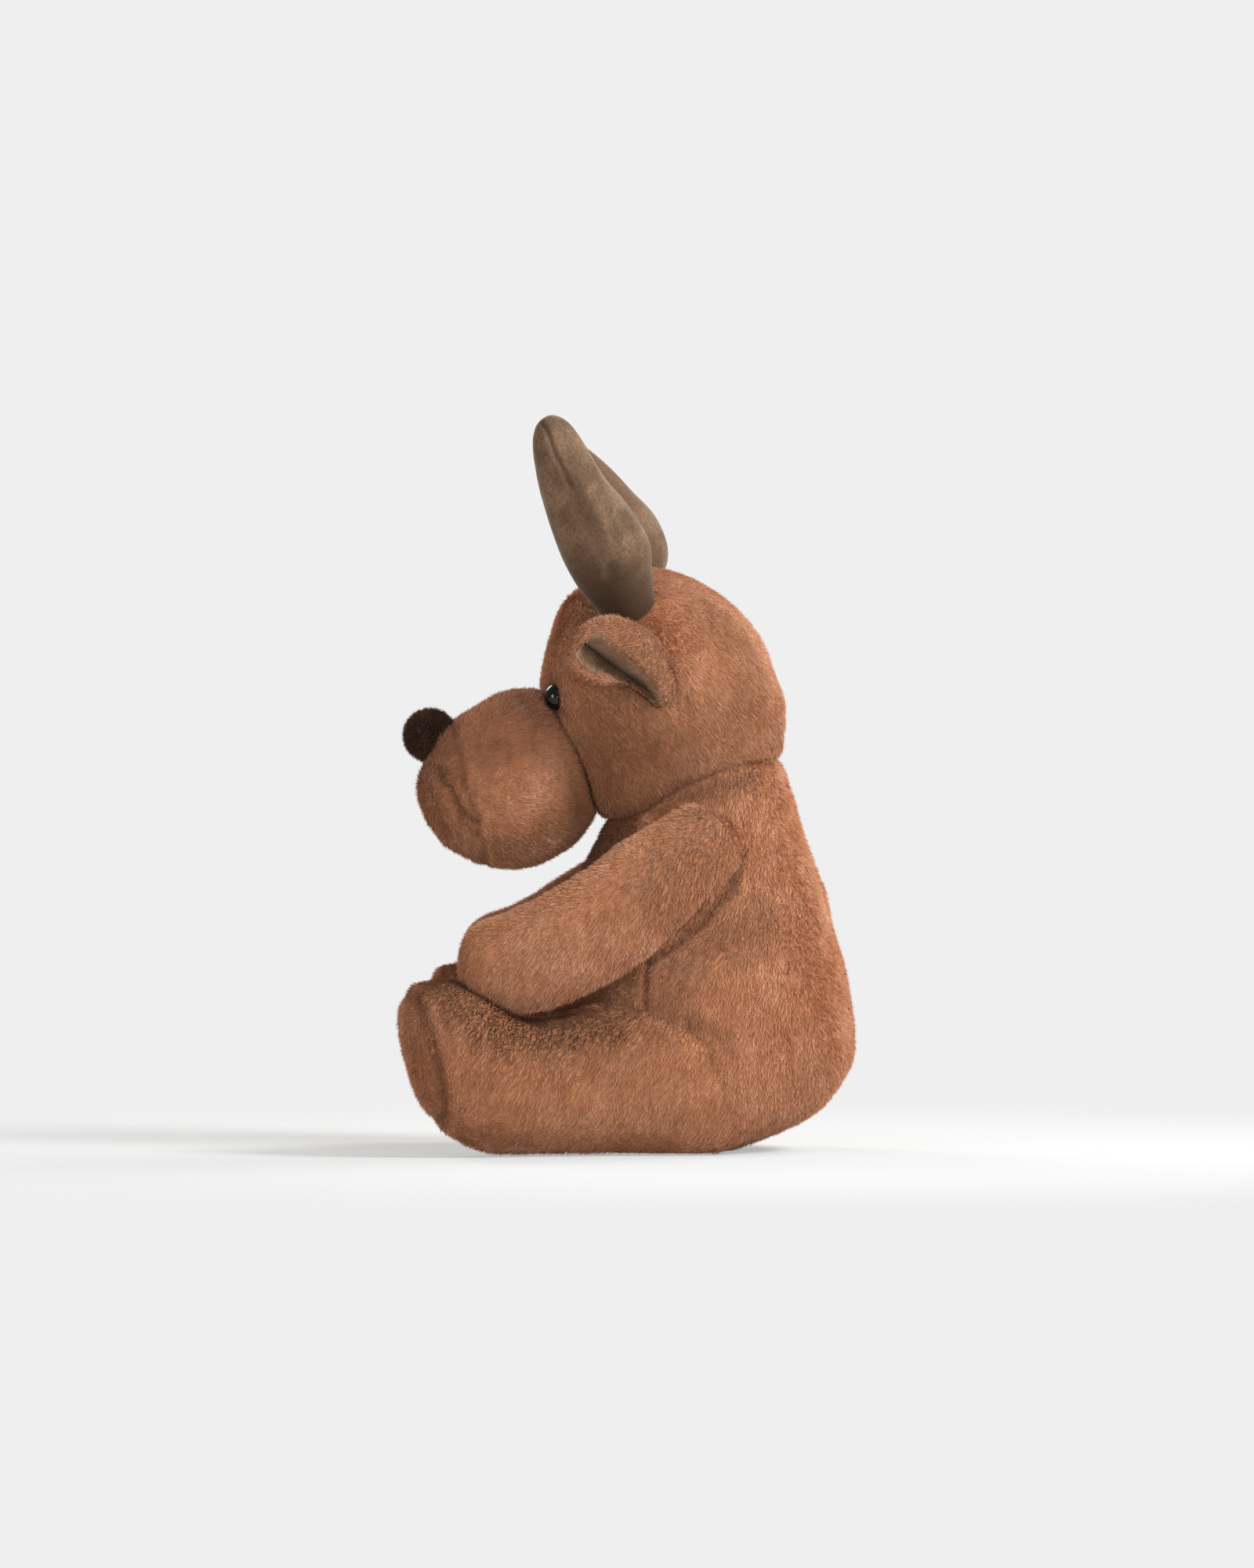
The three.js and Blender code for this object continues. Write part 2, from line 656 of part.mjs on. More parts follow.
// degrees of lean backwards and droop outwards turn the antler about its root
function antlerSewn(lean, droop) {
  const tilt = new THREE.Euler(...[-lean, droop, 0].map(THREE.MathUtils.degToRad));
  const tilted = (point) => point.clone().sub(antlerRoot).applyEuler(tilt).add(antlerRoot);
  const leaned = (limb) => ({
    ...limb,
    root: tilted(limb.root),
    stations: limb.stations.map((station) => ({ ...station, centre: tilted(station.centre) })),
  });
  const carriers = sweptHead(antlerSeat.point, left, antlerSwayAngle);
  return sewn(limbShape([leaned(beam), leaned(prong)]), () => [], carriers);
}
const leftAntler = antlerSewn(leftAntlerLeanAngle, 0);
const rightAntler = antlerSewn(rightAntlerLeanAngle, rightAntlerDroopAngle);

// Ear on the toy's left: a curled sheet of pile fabric with a velour lining
const earSeat = seatOn(headForm(0), headCentre.clone().addScaledVector(up, earRootRise), left);
const earWay = vector(earOutwards, -earForwards, earUpwards).normalize();
const earOpenWay = vector(earOpenOutwards, -earOpenForwards, -earOpenDown).normalize();
earOpenWay.addScaledVector(earWay, -earOpenWay.dot(earWay)).normalize();
const earSideWay = new THREE.Vector3().crossVectors(earWay, earOpenWay);
const earSpan = 6; // facets across the sheet
const leastLiningShare = 0.1; // of the ear's width, at its narrow ends

function earSheet(margin, behind, thickness) {
  const rowsAt = (offset) =>
    earShares.map(([along, wide, curl]) => {
      const turn = THREE.MathUtils.degToRad(curl);
      const radius = (wide * earWidth) / turn;
      const shown = turn * Math.max(1 - (2 * margin) / (wide * earWidth), leastLiningShare);
      const reach = THREE.MathUtils.lerp(margin, earLength - margin, along);
      const arcCentre = earSeat.point
        .clone()
        .addScaledVector(earWay, reach)
        .addScaledVector(earOpenWay, radius);
      return Array.from({ length: earSpan + 1 }, (unused, i) => {
        const angle = shown * (i / earSpan - 1 / 2);
        return arcCentre
          .clone()
          .addScaledVector(earSideWay, (radius + offset) * Math.sin(angle))
          .addScaledVector(earOpenWay, -(radius + offset) * Math.cos(angle));
      });
    });
  return closedSheet(rowsAt(-behind), rowsAt(-behind - thickness));
}
const earCutters = sweptHead(earSeat.point, up, earFlapAngle);
const earCover = cut(solidOf(earSheet(0, 0, skinThickness)), earCutters);
const liningSheet = earSheet(earRimMargin, skinThickness + liningGap, liningThickness);
const earLining = cut(solidOf(liningSheet), earCutters);

const headSewn = sewn(
  (grow) => solidOf(headForm(grow)),
  (grow) => [
    blockBeyond(neckCentre.clone().addScaledVector(neckAxis, grow - clearance),
      tiltedUp(neckTilt + nodAngle + nodEase).negate()),
    blockBeyond(neckCentre.clone().addScaledVector(neckAxis, grow - clearance),
      tiltedUp(neckTilt - nodAngle - nodEase).negate()),
    neckSocket(grow),
  ],
  [],
  [neckHole, ...onBothSides(shankHole), ...onBothSides(washerPocket)],
);
headSewn.filling = cut(headSewn.filling, [...onBothSides(shankHole), ...onBothSides(washerPocket)]);

// Arm on the toy's left
const arm = {
  root: shoulderCentre,
  radius: shoulderRadius,
  stations: armShares.map(([out, ahead, rise, wide, thick]) => ({
    centre: shoulderCentre.clone().add(vector(out, -ahead, rise).multiplyScalar(armReach)),
    halfSide: (wide * armWidth) / 2,
    halfLift: (thick * armThickness) / 2,
  })),
  liftHint: left,
};

// Leg on the toy's left, lower over the shin than at the foot
const soleFall = Math.tan(THREE.MathUtils.degToRad(soleTiltAngle));
const soleWay = legWay.clone().addScaledVector(up, -soleFall).normalize();
const leg = {
  root: hipCentre,
  radius: hipRadius,
  stations: legShares.map(([along, top, bottom, wide, tilted]) => {
    const centre = hipCentre.clone().addScaledVector(legWay, along * legLength);
    centre.z = ((top + bottom) / 2) * footHeight;
    const halfLift = ((top - bottom) / 2) * footHeight;
    return { centre, halfSide: (wide * legWidth) / 2, halfLift, way: legWay.clone().lerp(soleWay, tilted) };
  }),
  liftHint: up,
};

const torsoGrown = torsoForm(clearance);
const torsoBeside = swept(torsoGrown, hipHinge, up, [0, -legSpreadAngle / 2, -legSpreadAngle]);
const legSewn = sewn(limbShape([leg]), (gap) => [floorAt(gap)], torsoBeside);
const soleSeam = hipCentre.clone().addScaledVector(legWay, legLength - soleDepth);
const legPanels = parted(legSewn.cover, soleSeam, soleWay);

// The paw leaves room for the leg all along its way outwards
const pawSteps = 7;
const pawAngles = Array.from({ length: pawSteps }, (unused, i) => (legSpreadAngle * i) / (pawSteps - 1));
const pawRests = (gap) =>
  swept(limbForm(leg, gap - clearance + pawGap, limbAround), hipHinge, up, pawAngles);
const armSewn = sewn(limbShape([arm]), pawRests, [solidOf(torsoGrown)]);

const group = new THREE.Group();

function addPiece(name, solid, material) {
  const mesh = new THREE.Mesh(solid instanceof THREE.BufferGeometry ? solid : geometryOf(solid), material);
  mesh.name = name;
  group.add(mesh);
}

function addPair(name, solid, material, otherSolid = solid) {
  addPiece(`left_${name}`, solid, material);
  addPiece(`right_${name}`, mirrored(geometryOf(otherSolid)), material);
}

addPiece('torso_cover', torsoSewn.cover, furMaterial);
addPiece('torso_filling', torsoSewn.filling, fillingMaterial);
addPiece('neck_filling', neckBall, fillingMaterial);
addPiece('head_cover', headSewn.cover, furMaterial);
addPiece('head_filling', headSewn.filling, fillingMaterial);
addPiece('muzzle_cover', muzzlePanels.near, furMaterial);
addPiece('muzzle_front', muzzlePanels.far, furMaterial);
addPiece('muzzle_filling', muzzleSewn.filling, fillingMaterial);
addPiece('nose', nose, noseMaterial);
addPair('eye', solidOf(eyeGeometry()), eyeMaterial);
addPair('eye_washer', washer, washerMaterial);
addPair('ear_cover', earCover, furMaterial);
addPair('ear_lining', earLining, velourMaterial);
addPair('antler_cover', leftAntler.cover, velourMaterial, rightAntler.cover);
addPair('antler_filling', leftAntler.filling, fillingMaterial, rightAntler.filling);
addPair('arm_cover', armSewn.cover, furMaterial);
addPair('arm_filling', armSewn.filling, fillingMaterial);
addPair('leg_cover', legPanels.near, furMaterial);
addPair('sole', legPanels.far, furMaterial);
addPair('leg_filling', legSewn.filling, fillingMaterial);

// The origin goes under the middle of the whole toy
const box = new THREE.Box3().setFromObject(group);
const middle = box.getCenter(new THREE.Vector3()).setX(0).setZ(box.min.z);
group.children.forEach((mesh) => mesh.geometry.translate(...middle.clone().negate().toArray()));

// The joints' own points and limits, in degrees, for record.json
group.userData = {
  neck: { point: neckCentre, axis: neckAxis, turn: neckTurnAngle, nod: nodAngle },
  shoulder: { point: shoulderHinge, axis: shoulderAxis, spread: armSpreadAngle },
  hip: { point: hipHinge, axis: up, spread: legSpreadAngle },
  antler: { point: antlerSeat.point, axis: left, sway: antlerSwayAngle },
  ear: { point: earSeat.point, axis: up, flap: earFlapAngle },
};
Object.values(group.userData).forEach((joint) => joint.point.sub(middle));

export default group;
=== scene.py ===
import math

import bpy
import numpy as np
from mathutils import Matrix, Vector, noise
from mathutils.bvhtree import BVHTree


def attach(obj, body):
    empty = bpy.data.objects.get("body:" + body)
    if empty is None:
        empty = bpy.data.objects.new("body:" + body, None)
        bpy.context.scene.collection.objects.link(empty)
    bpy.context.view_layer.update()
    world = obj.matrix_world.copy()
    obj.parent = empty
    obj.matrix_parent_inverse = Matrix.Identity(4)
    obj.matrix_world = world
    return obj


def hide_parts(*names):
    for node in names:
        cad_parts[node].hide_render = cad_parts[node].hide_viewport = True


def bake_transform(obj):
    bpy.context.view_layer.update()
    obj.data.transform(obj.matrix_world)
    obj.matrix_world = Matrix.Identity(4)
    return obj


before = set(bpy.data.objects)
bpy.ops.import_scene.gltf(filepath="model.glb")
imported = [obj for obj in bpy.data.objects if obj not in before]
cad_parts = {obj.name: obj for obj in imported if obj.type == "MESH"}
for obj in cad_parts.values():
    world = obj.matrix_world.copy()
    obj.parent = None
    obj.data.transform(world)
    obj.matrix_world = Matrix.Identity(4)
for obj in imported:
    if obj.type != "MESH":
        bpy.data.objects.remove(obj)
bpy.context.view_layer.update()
print("frame loaded")

mm = 0.001
left, right = 1, -1
sides = {"left": left, "right": right}


# node helpers
def feed(node, inputs):
    # each socket takes a value, or the output that feeds it; colours are given without alpha
    for label, value in inputs.items():
        socket = node.inputs[label]
        if isinstance(value, bpy.types.NodeSocket):
            node.id_data.links.new(value, socket)
        else:
            socket.default_value = (*value, 1) if socket.type == "RGBA" else value
    return node


def addNode(tree, kind, inputs, **settings):
    node = tree.nodes.new(kind)
    for name, value in settings.items():
        setattr(node, name, value)
    return feed(node, inputs)


def mathNode(tree, operation, a, b=0.5):
    return addNode(tree, "ShaderNodeMath", {0: a, 1: b}, operation=operation).outputs[0]


def stretched(tree, value, low, high, most=1.0, least=0.0):
    # a value between low and high becomes one between least and most
    return addNode(tree, "ShaderNodeMapRange", {
        "Value": value, "From Min": low, "From Max": high, "To Min": least, "To Max": most,
    }).outputs["Result"]


def inScene(name, data):
    obj = bpy.data.objects.new(name, data)
    bpy.context.scene.collection.objects.link(obj)
    return obj


# camera, light and floor
photo = {
    "height": 2000, "metresPerPixel": 0.000342, "distance": 4.5, "elevation": 0.6,
    "aim": (0.0, -0.0002, 0.1592), "background": (0.863, 0.863, 0.863),
}
studio = {
    "glow": 0.27, "lampAim": (0, 0, 0.14),
    "lamps": {  # place, size, watts, colour
        "keyLamp": ((0.75, 1.15, 1.1), 0.6, 37.0, (0.97, 1.0, 1.0)),
        "fillLamp": ((1.45, -1.3, 0.4), 0.9, 12.5, (1, 1, 1)),
        "lowLamp": ((2.8, 0.9, 0.16), 0.8, 27.0, (1, 1, 1)),
        "farLamp": ((-0.7, 1.0, 1.2), 0.8, 14.0, (1, 1, 1)),
        "frontLamp": ((-0.9, -0.8, 1.0), 0.8, 9.0, (1.0, 0.98, 0.9)),
    },
}
floor = {
    "radius": 6.0, "around": 96, "level": -0.0006, "colour": (0.64, 0.64, 0.64),
    "fadeFrom": 0.18, "fadeTo": 0.55, "nearShare": 0.5,
}


def lookFrom(obj, place, aim):
    obj.location = place
    obj.rotation_euler = (Vector(aim) - Vector(place)).to_track_quat("-Z", "Y").to_euler()


def addCamera():
    camera = inScene("camera", bpy.data.cameras.new("camera"))
    rise = math.radians(photo["elevation"])
    away = Vector((math.cos(rise), 0.0, math.sin(rise))) * photo["distance"]
    lookFrom(camera, Vector(photo["aim"]) + away, photo["aim"])
    frameHeight = photo["height"] * photo["metresPerPixel"]
    camera.data.lens = camera.data.sensor_width * photo["distance"] / frameHeight
    camera.data.clip_start = 0.05
    bpy.context.scene.camera = camera


def addLamps():
    for name, (place, size, watts, colour) in studio["lamps"].items():
        data = bpy.data.lights.new(name, "AREA")
        data.shape = "DISK"
        data.size = size
        data.energy = watts
        data.color = colour
        lookFrom(inScene(name, data), place, studio["lampAim"])


def addWorld():
    world = bpy.data.worlds.new("studio")
    bpy.context.scene.world = world
    world.use_nodes = True
    tree = world.node_tree
    seen = addNode(tree, "ShaderNodeBackground", {"Color": photo["background"], "Strength": 1.0})
    soft = feed(tree.nodes["Background"], {"Color": (1, 1, 1), "Strength": studio["glow"]})
    path = addNode(tree, "ShaderNodeLightPath", {})
    mix = addNode(tree, "ShaderNodeMixShader", {
        "Fac": path.outputs["Is Camera Ray"], 1: soft.outputs["Background"], 2: seen.outputs["Background"]})
    feed(tree.nodes["World Output"], {"Surface": mix.outputs["Shader"]})


def addFloor():
    # it fades into the backdrop away from the toy
    radius, around = floor["radius"], floor["around"]
    angles = [2 * math.pi * i / around for i in range(around)]
    points = [(radius * math.cos(a), radius * math.sin(a), floor["level"]) for a in angles]
    mesh = bpy.data.meshes.new("floor")
    mesh.from_pydata(points, [], [list(range(around))])
    material = bpy.data.materials.new("paleFloor")
    material.use_nodes = True
    tree = material.node_tree
    paint = feed(tree.nodes["Principled BSDF"], {
        "Base Color": floor["colour"], "Roughness": 1.0, "Specular IOR Level": 0.0})
    glow = addNode(tree, "ShaderNodeEmission", {"Color": photo["background"]})
    place = addNode(tree, "ShaderNodeTexCoord", {})
    length = addNode(tree, "ShaderNodeVectorMath", {0: place.outputs["Object"]}, operation="LENGTH")
    fade = addNode(tree, "ShaderNodeMapRange", {
        "Value": length.outputs["Value"], "From Min": floor["fadeFrom"], "From Max": floor["fadeTo"],
        "To Min": floor["nearShare"]}, interpolation_type="SMOOTHSTEP")
    path = addNode(tree, "ShaderNodeLightPath", {})
    seen = mathNode(tree, "MULTIPLY", fade.outputs["Result"], path.outputs["Is Camera Ray"])
    mix = addNode(tree, "ShaderNodeMixShader", {
        "Fac": seen, 1: paint.outputs["BSDF"], 2: glow.outputs["Emission"]})
    feed(tree.nodes["Material Output"], {"Surface": mix.outputs["Shader"]})
    mesh.materials.append(material)
    inScene("floor", mesh)


bpy.context.scene.view_settings.view_transform = "Standard"
addCamera()
addWorld()
addLamps()
addFloor()
print("camera and studio")


# shader group and materials
def noiseNode(tree, vector, scale, detail, roughness):
    return addNode(tree, "ShaderNodeTexNoise", {
        "Vector": vector, "Scale": scale, "Detail": detail, "Roughness": roughness}).outputs["Fac"]


def mixColour(tree, factor, a, b):
    return addNode(tree, "ShaderNodeMix", {0: factor, 6: a, 7: b}, data_type="RGBA").outputs[2]


def napPatches():
    # soft light and dark patches where the pile was brushed different ways
    group = bpy.data.node_groups.new("napPatches", "ShaderNodeTree")
    for label, kind, value in (
        ("Vector", "NodeSocketVector", (0, 0, 0)),
        ("Patch Scale", "NodeSocketFloat", 45.0),
        ("Streak Scale", "NodeSocketFloat", 260.0),
    ):
        group.interface.new_socket(label, in_out="INPUT", socket_type=kind).default_value = value
    for label in ("Patch", "Broad", "Streak"):
        group.interface.new_socket(label, in_out="OUTPUT", socket_type="NodeSocketFloat")
    start = group.nodes.new("NodeGroupInput").outputs
    vector, patchScale = start["Vector"], start["Patch Scale"]
    stretch = addNode(group, "ShaderNodeMapping", {
        "Vector": vector, "Scale": (1.0, 1.0, 0.35), "Rotation": (math.radians(20), 0, 0)})
    feed(group.nodes.new("NodeGroupOutput"), {
        "Patch": noiseNode(group, vector, patchScale, 3.0, 0.55),
        "Broad": noiseNode(group, vector, mathNode(group, "MULTIPLY", patchScale, 0.36), 2.0, 0.5),
        "Streak": noiseNode(group, stretch.outputs["Vector"], start["Streak Scale"], 3.0, 0.6)})
    return group


napPatchesGroup = napPatches()


def newMaterial(name, roughness, specular, sheen=0.0, sheenRoughness=0.4, sheenTint=(1, 1, 1)):
    material = bpy.data.materials.new(name)
    material.use_nodes = True
    paint = feed(material.node_tree.nodes["Principled BSDF"], {
        "Roughness": roughness, "Specular IOR Level": specular, "Sheen Weight": sheen,
        "Sheen Roughness": sheenRoughness, "Sheen Tint": sheenTint})
    return material, material.node_tree, paint


def patchesOf(tree, patchScale):
    place = addNode(tree, "ShaderNodeTexCoord", {})
    return addNode(tree, "ShaderNodeGroup", {
        "Vector": place.outputs["Object"], "Patch Scale": patchScale}, node_tree=napPatchesGroup).outputs


def attributeValue(tree, name):
    return addNode(tree, "ShaderNodeAttribute", {}, attribute_name=name).outputs["Fac"]


def bumpNormal(tree, height, strength, distance):
    return addNode(tree, "ShaderNodeBump", {
        "Height": height, "Strength": strength, "Distance": distance}).outputs["Normal"]


def pileMaterial(name, light, mid, dark, deep, root, sheen):
    # strands: dark at the root, lighter at the tip, each a little different
    material, tree, paint = newMaterial(name, 0.85, 0.15, sheen, 0.4, (0.95, 0.75, 0.6))
    patches = patchesOf(tree, 42.0)
    shade, strandShade = attributeValue(tree, "shade"), attributeValue(tree, "strandShade")
    broad = mixColour(tree, stretched(tree, patches["Patch"], 0.4, 0.6), mid, light)
    worn = mixColour(tree, stretched(tree, patches["Broad"], 0.5, 0.72, 0.42), broad, dark)
    streaked = mixColour(tree, stretched(tree, patches["Streak"], 0.35, 0.7, 0.5), worn, dark)
    inLight = mixColour(tree, mathNode(tree, "POWER", strandShade, 1.8), streaked, dark)
    # painted shade: where the shade attribute is high, tips and roots turn to the deep colour
    inShade = mixColour(tree, stretched(tree, strandShade, 0.0, 0.5), dark, deep)
    tipTone = mixColour(tree, shade, inLight, inShade)
    rootTone = mixColour(tree, shade, root, deep)
    feed(paint, {"Base Color": mixColour(tree, attributeValue(tree, "tip"), rootTone, tipTone)})
    return material


def skinMaterial(name, light, dark):
    # the backing and the dense short pile below the strands, coloured darker than them partly as painted
    # shade between the strands; the shade attribute paints more shade
    material, tree, paint = newMaterial(name, 0.95, 0.1, 0.1, 0.5, light)
    streak = patchesOf(tree, 38.0)["Streak"]
    colour = mixColour(tree, stretched(tree, streak, 0.3, 0.7), light, dark)
    feed(paint, {"Base Color": mixColour(tree, attributeValue(tree, "shade"), colour, dark),
                 "Normal": bumpNormal(tree, streak, 0.6, 0.0008)})
    return material


def velourMaterial(name, light, mid, dark, ruddy, patchScale, sheen):
    material, tree, paint = newMaterial(name, 0.8, 0.12, sheen, 0.3, (0.95, 0.88, 0.76))
    patches = patchesOf(tree, patchScale)
    grain = patchesOf(tree, 800.0)["Patch"]
    broad = mixColour(tree, stretched(tree, patches["Patch"], 0.42, 0.58), mid, light)
    warmed = mixColour(tree, stretched(tree, patches["Broad"], 0.5, 0.68), broad, ruddy)
    grained = mixColour(tree, stretched(tree, grain, 0.38, 0.7, 0.55), warmed, dark)
    # the shade attribute paints shade in the folds, the seam and at the antler's foot
    feed(paint, {"Base Color": mixColour(tree, attributeValue(tree, "shade"), grained, dark),
                 "Normal": bumpNormal(tree, grain, 0.4, 0.0004)})
    return material


def eyeMaterial():
    material, tree, paint = newMaterial("blackEye", 0.08, 0.35)
    patches = patchesOf(tree, 220.0)
    feed(paint, {
        "Base Color": mixColour(tree, patches["Patch"], (0.0025, 0.0025, 0.0025), (0.005, 0.0045, 0.0045)),
        "Roughness": stretched(tree, patches["Streak"], 0.2, 0.8, 0.08, 0.03)})
    return material


def washerMaterial():
    material, tree, paint = newMaterial("washerPlastic", 0.5, 0.4)
    patch = patchesOf(tree, 160.0)["Patch"]
    feed(paint, {"Base Color": mixColour(tree, patch, (0.78, 0.77, 0.73), (0.7, 0.69, 0.65))})
    return material


def fillingMaterial():
    material, tree, paint = newMaterial("filling", 0.95, 0.1, 0.2, 0.5)
    patches = patchesOf(tree, 120.0)
    feed(paint, {"Base Color": mixColour(tree, patches["Streak"], (0.8, 0.78, 0.72), (0.92, 0.9, 0.86)),
                 "Normal": bumpNormal(tree, patches["Patch"], 1.0, 0.001)})
    return material


pileHair = pileMaterial(
    "pileStrands", (0.9, 0.535, 0.36), (0.7, 0.35, 0.207), (0.31, 0.116, 0.047), (0.06, 0.018, 0.007),
    (0.34, 0.135, 0.06), 0.3)
pileSkin = skinMaterial("pileBacking", (0.5, 0.215, 0.105), (0.3, 0.118, 0.053))
noseHair = pileMaterial(
    "nosePile", (0.15, 0.064, 0.036), (0.105, 0.045, 0.026), (0.05, 0.022, 0.013), (0.012, 0.006, 0.004),
    (0.03, 0.014, 0.009), 0.06)
noseSkin = skinMaterial("noseBacking", (0.035, 0.018, 0.012), (0.02, 0.011, 0.008))
antlerVelour = velourMaterial(
    "antlerVelour", (0.187, 0.111, 0.066), (0.12, 0.07, 0.04), (0.042, 0.022, 0.0115), (0.14, 0.07, 0.04),
    70.0, 0.42)
liningVelour = velourMaterial(
    "liningVelour", (0.25, 0.148, 0.088), (0.18, 0.102, 0.058), (0.04, 0.02, 0.01), (0.2, 0.105, 0.058),
    110.0, 0.15)
blackEye, washerPlastic, looseFilling = eyeMaterial(), washerMaterial(), fillingMaterial()


# forms: outlines are in shares of each form's sizes, which are in millimetres
def spline(before, here, after, beyond, t):
    return 0.5 * (2 * here + (after - before) * t + (2 * before - 5 * here + 4 * after - beyond) * t ** 2
                  + (3 * here - before - 3 * after + beyond) * t ** 3)


def smoothRows(rows, count):
    rows = np.array(rows, float)
    at = np.linspace(0, len(rows) - 1, count)
    i = np.clip(at.astype(int), 0, len(rows) - 2)
    before, beyond = rows[np.maximum(i - 1, 0)], rows[np.minimum(i + 2, len(rows) - 1)]
    return spline(before, rows[i], rows[i + 1], beyond, (at - i)[:, None])


def closedCurve(points, count):
    points = np.array(points, float)
    at = np.arange(count) * len(points) / count
    i = at.astype(int)
    return spline(*(points[(i + k) % len(points)] for k in (-1, 0, 1, 2)), (at - i)[:, None])


def unit(vectors):
    vectors = np.asarray(vectors, float)
    return vectors / np.maximum(np.linalg.norm(vectors, axis=-1, keepdims=True), 1e-9)


def ramp(values, low, high):
    t = np.clip((values - low) / (high - low), 0, 1)
    return t * t * (3 - 2 * t)


def makeForm(points, faces):
    halves = []
    for face in faces:
        halves.append(face[:3])
        if len(face) == 4:
            halves.append((face[0], face[2], face[3]))
    form = {"points": np.array(points, float), "faces": faces, "halves": np.array(halves)}
    corners = form["points"][form["halves"]]
    volume = np.einsum("ij,ij->i", corners[:, 0], np.cross(corners[:, 1], corners[:, 2])).sum()
    if volume < 0:
        form["faces"] = [tuple(reversed(face)) for face in faces]
        form["halves"] = form["halves"][:, ::-1]
    form["shade"] = np.zeros(len(points))
    form["cover"] = np.ones(len(points))
    return form


def loftForm(rings, startTip, endTip):
    count, around = rings.shape[:2]
    points = np.concatenate([rings.reshape(-1, 3), [startTip], [endTip]])
    steps = [(i, (i + 1) % around) for i in range(around)]
    last = (count - 1) * around
    faces = []
    for low in range(0, last, around):
        faces += [(low + i, low + j, low + around + j, low + around + i) for i, j in steps]
    for i, j in steps:
        faces.append((count * around, j, i))
        faces.append((count * around + 1, last + i, last + j))
    return makeForm(points, faces)


def ringForm(centres, sideWays, liftWays, around, startTip, endTip):
    angles = 2 * np.pi * np.arange(around) / around
    rings = (centres[:, None] + sideWays[:, None] * np.cos(angles)[None, :, None]
             + liftWays[:, None] * np.sin(angles)[None, :, None])
    return loftForm(rings, startTip, endTip)


def ballForm(centre, radius, rings, around):
    angles = np.linspace(0, np.pi, rings + 2)[1:-1]
    centre = np.array(centre, float)
    rise = np.array([0, 0, 1.0])
    wide = (radius * np.sin(angles))[:, None]
    return ringForm(centre - rise * (radius * np.cos(angles))[:, None], np.array([1.0, 0, 0]) * wide,
                    np.array([0, 1.0, 0]) * wide, around, centre - rise * radius, centre + rise * radius)


def stackedForm(part, rings, around):
    level, front, back, wide = smoothRows(part["outline"], rings).T
    inset = part["inset"]
    centres = np.array(part["base"], float) + np.stack(
        [0 * level, (front + back) / 2 * part["depth"], level * part["height"]], 1)
    squeeze = np.linspace(1, -1, rings)[:, None] * np.array([0, 0, inset])
    centres = centres + squeeze * (np.abs(np.linspace(-1, 1, rings)) ** 6)[:, None]
    halfWide = np.maximum(wide * part["width"] / 2 - inset, 0.5)[:, None]
    halfDeep = np.maximum((back - front) / 2 * part["depth"] - inset, 0.5)[:, None]
    tip = np.array([0, 0, 0.5])
    return ringForm(centres, np.array([1, 0, 0]) * halfWide, np.array([0, 1, 0]) * halfDeep, around,
                    centres[0] - tip, centres[-1] + tip)


def stationsAlong(start, before, rows, reach, width, thickness):
    # rows: outward, forward, up, width, thickness. A station faces from the one before to the one after.
    centres = [start + np.array([out, -ahead, rise]) * reach for out, ahead, rise, *_ in rows]
    path = [before] + centres
    return [(centres[i], rows[i][3] * width / 2, rows[i][-1] * thickness / 2,
             unit(path[min(i + 2, len(path) - 1)] - path[i])) for i in range(len(rows))]


def limbForm(root, radius, stations, hint, rings, around, inset):
    # stations: centre, half side, half lift, direction. The root is a half ball.
    firstWay = unit(stations[0][0] - root)
    rows = []
    for degrees in (12, 32, 52, 72):
        angle = math.radians(degrees)
        half = radius * math.sin(angle)
        rows.append([*(root - firstWay * radius * math.cos(angle)), half, half, *firstWay])
    for centre, halfSide, halfLift, way in stations:
        rows.append([*centre, halfSide, halfLift, *way])
    rows = smoothRows(rows, rings)
    centres, ways = rows[:, :3], unit(rows[:, 5:8])
    sideWays = unit(np.cross(hint, ways))
    liftWays = np.cross(ways, sideWays)
    halfSide = np.maximum(rows[:, 3] - inset, 0.4)[:, None]
    halfLift = np.maximum(rows[:, 4] - inset, 0.4)[:, None]
    endTip = centres[-1] + ways[-1] * min(halfSide[-1, 0], halfLift[-1, 0]) * 0.4
    startTip = root - firstWay * (radius - inset)
    return ringForm(centres, sideWays * halfSide, liftWays * halfLift, around, startTip, endTip)


def mirrorForm(form):
    other = dict(form)
    for label in ("points", "nap"):
        if label in form:
            other[label] = form[label] * np.array([-1, 1, 1])
    other["faces"] = [tuple(reversed(face)) for face in form["faces"]]
    other["halves"] = form["halves"][:, ::-1]
    return other


# sculpting: distances are in millimetres, and a shade is painted shade, from 0 to 1
def normalsOf(form):
    points, halves = form["points"], form["halves"]
    corners = points[halves]
    faceNormals = np.cross(corners[:, 1] - corners[:, 0], corners[:, 2] - corners[:, 0])
    normals = np.zeros_like(points)
    for i in range(3):
        np.add.at(normals, halves[:, i], faceNormals)
    return normals / np.maximum(np.linalg.norm(normals, axis=1), 1e-9)[:, None]


def treeOf(form):
    return BVHTree.FromPolygons(form["points"].tolist(), form["halves"].tolist())


def depthIn(points, tree):
    # signed distance to another form, negative inside it
    found = np.empty(len(points))
    for i, point in enumerate(points.tolist()):
        near, normal, index, gap = tree.find_nearest(point)
        inside = (Vector(point) - near).dot(normal) < 0
        found[i] = -gap if inside else gap
    return found


def push(form, amounts):
    form["points"] = form["points"] + normalsOf(form) * np.asarray(amounts)[:, None]


def darken(form, amounts):
    form["shade"] = np.maximum(form["shade"], amounts)


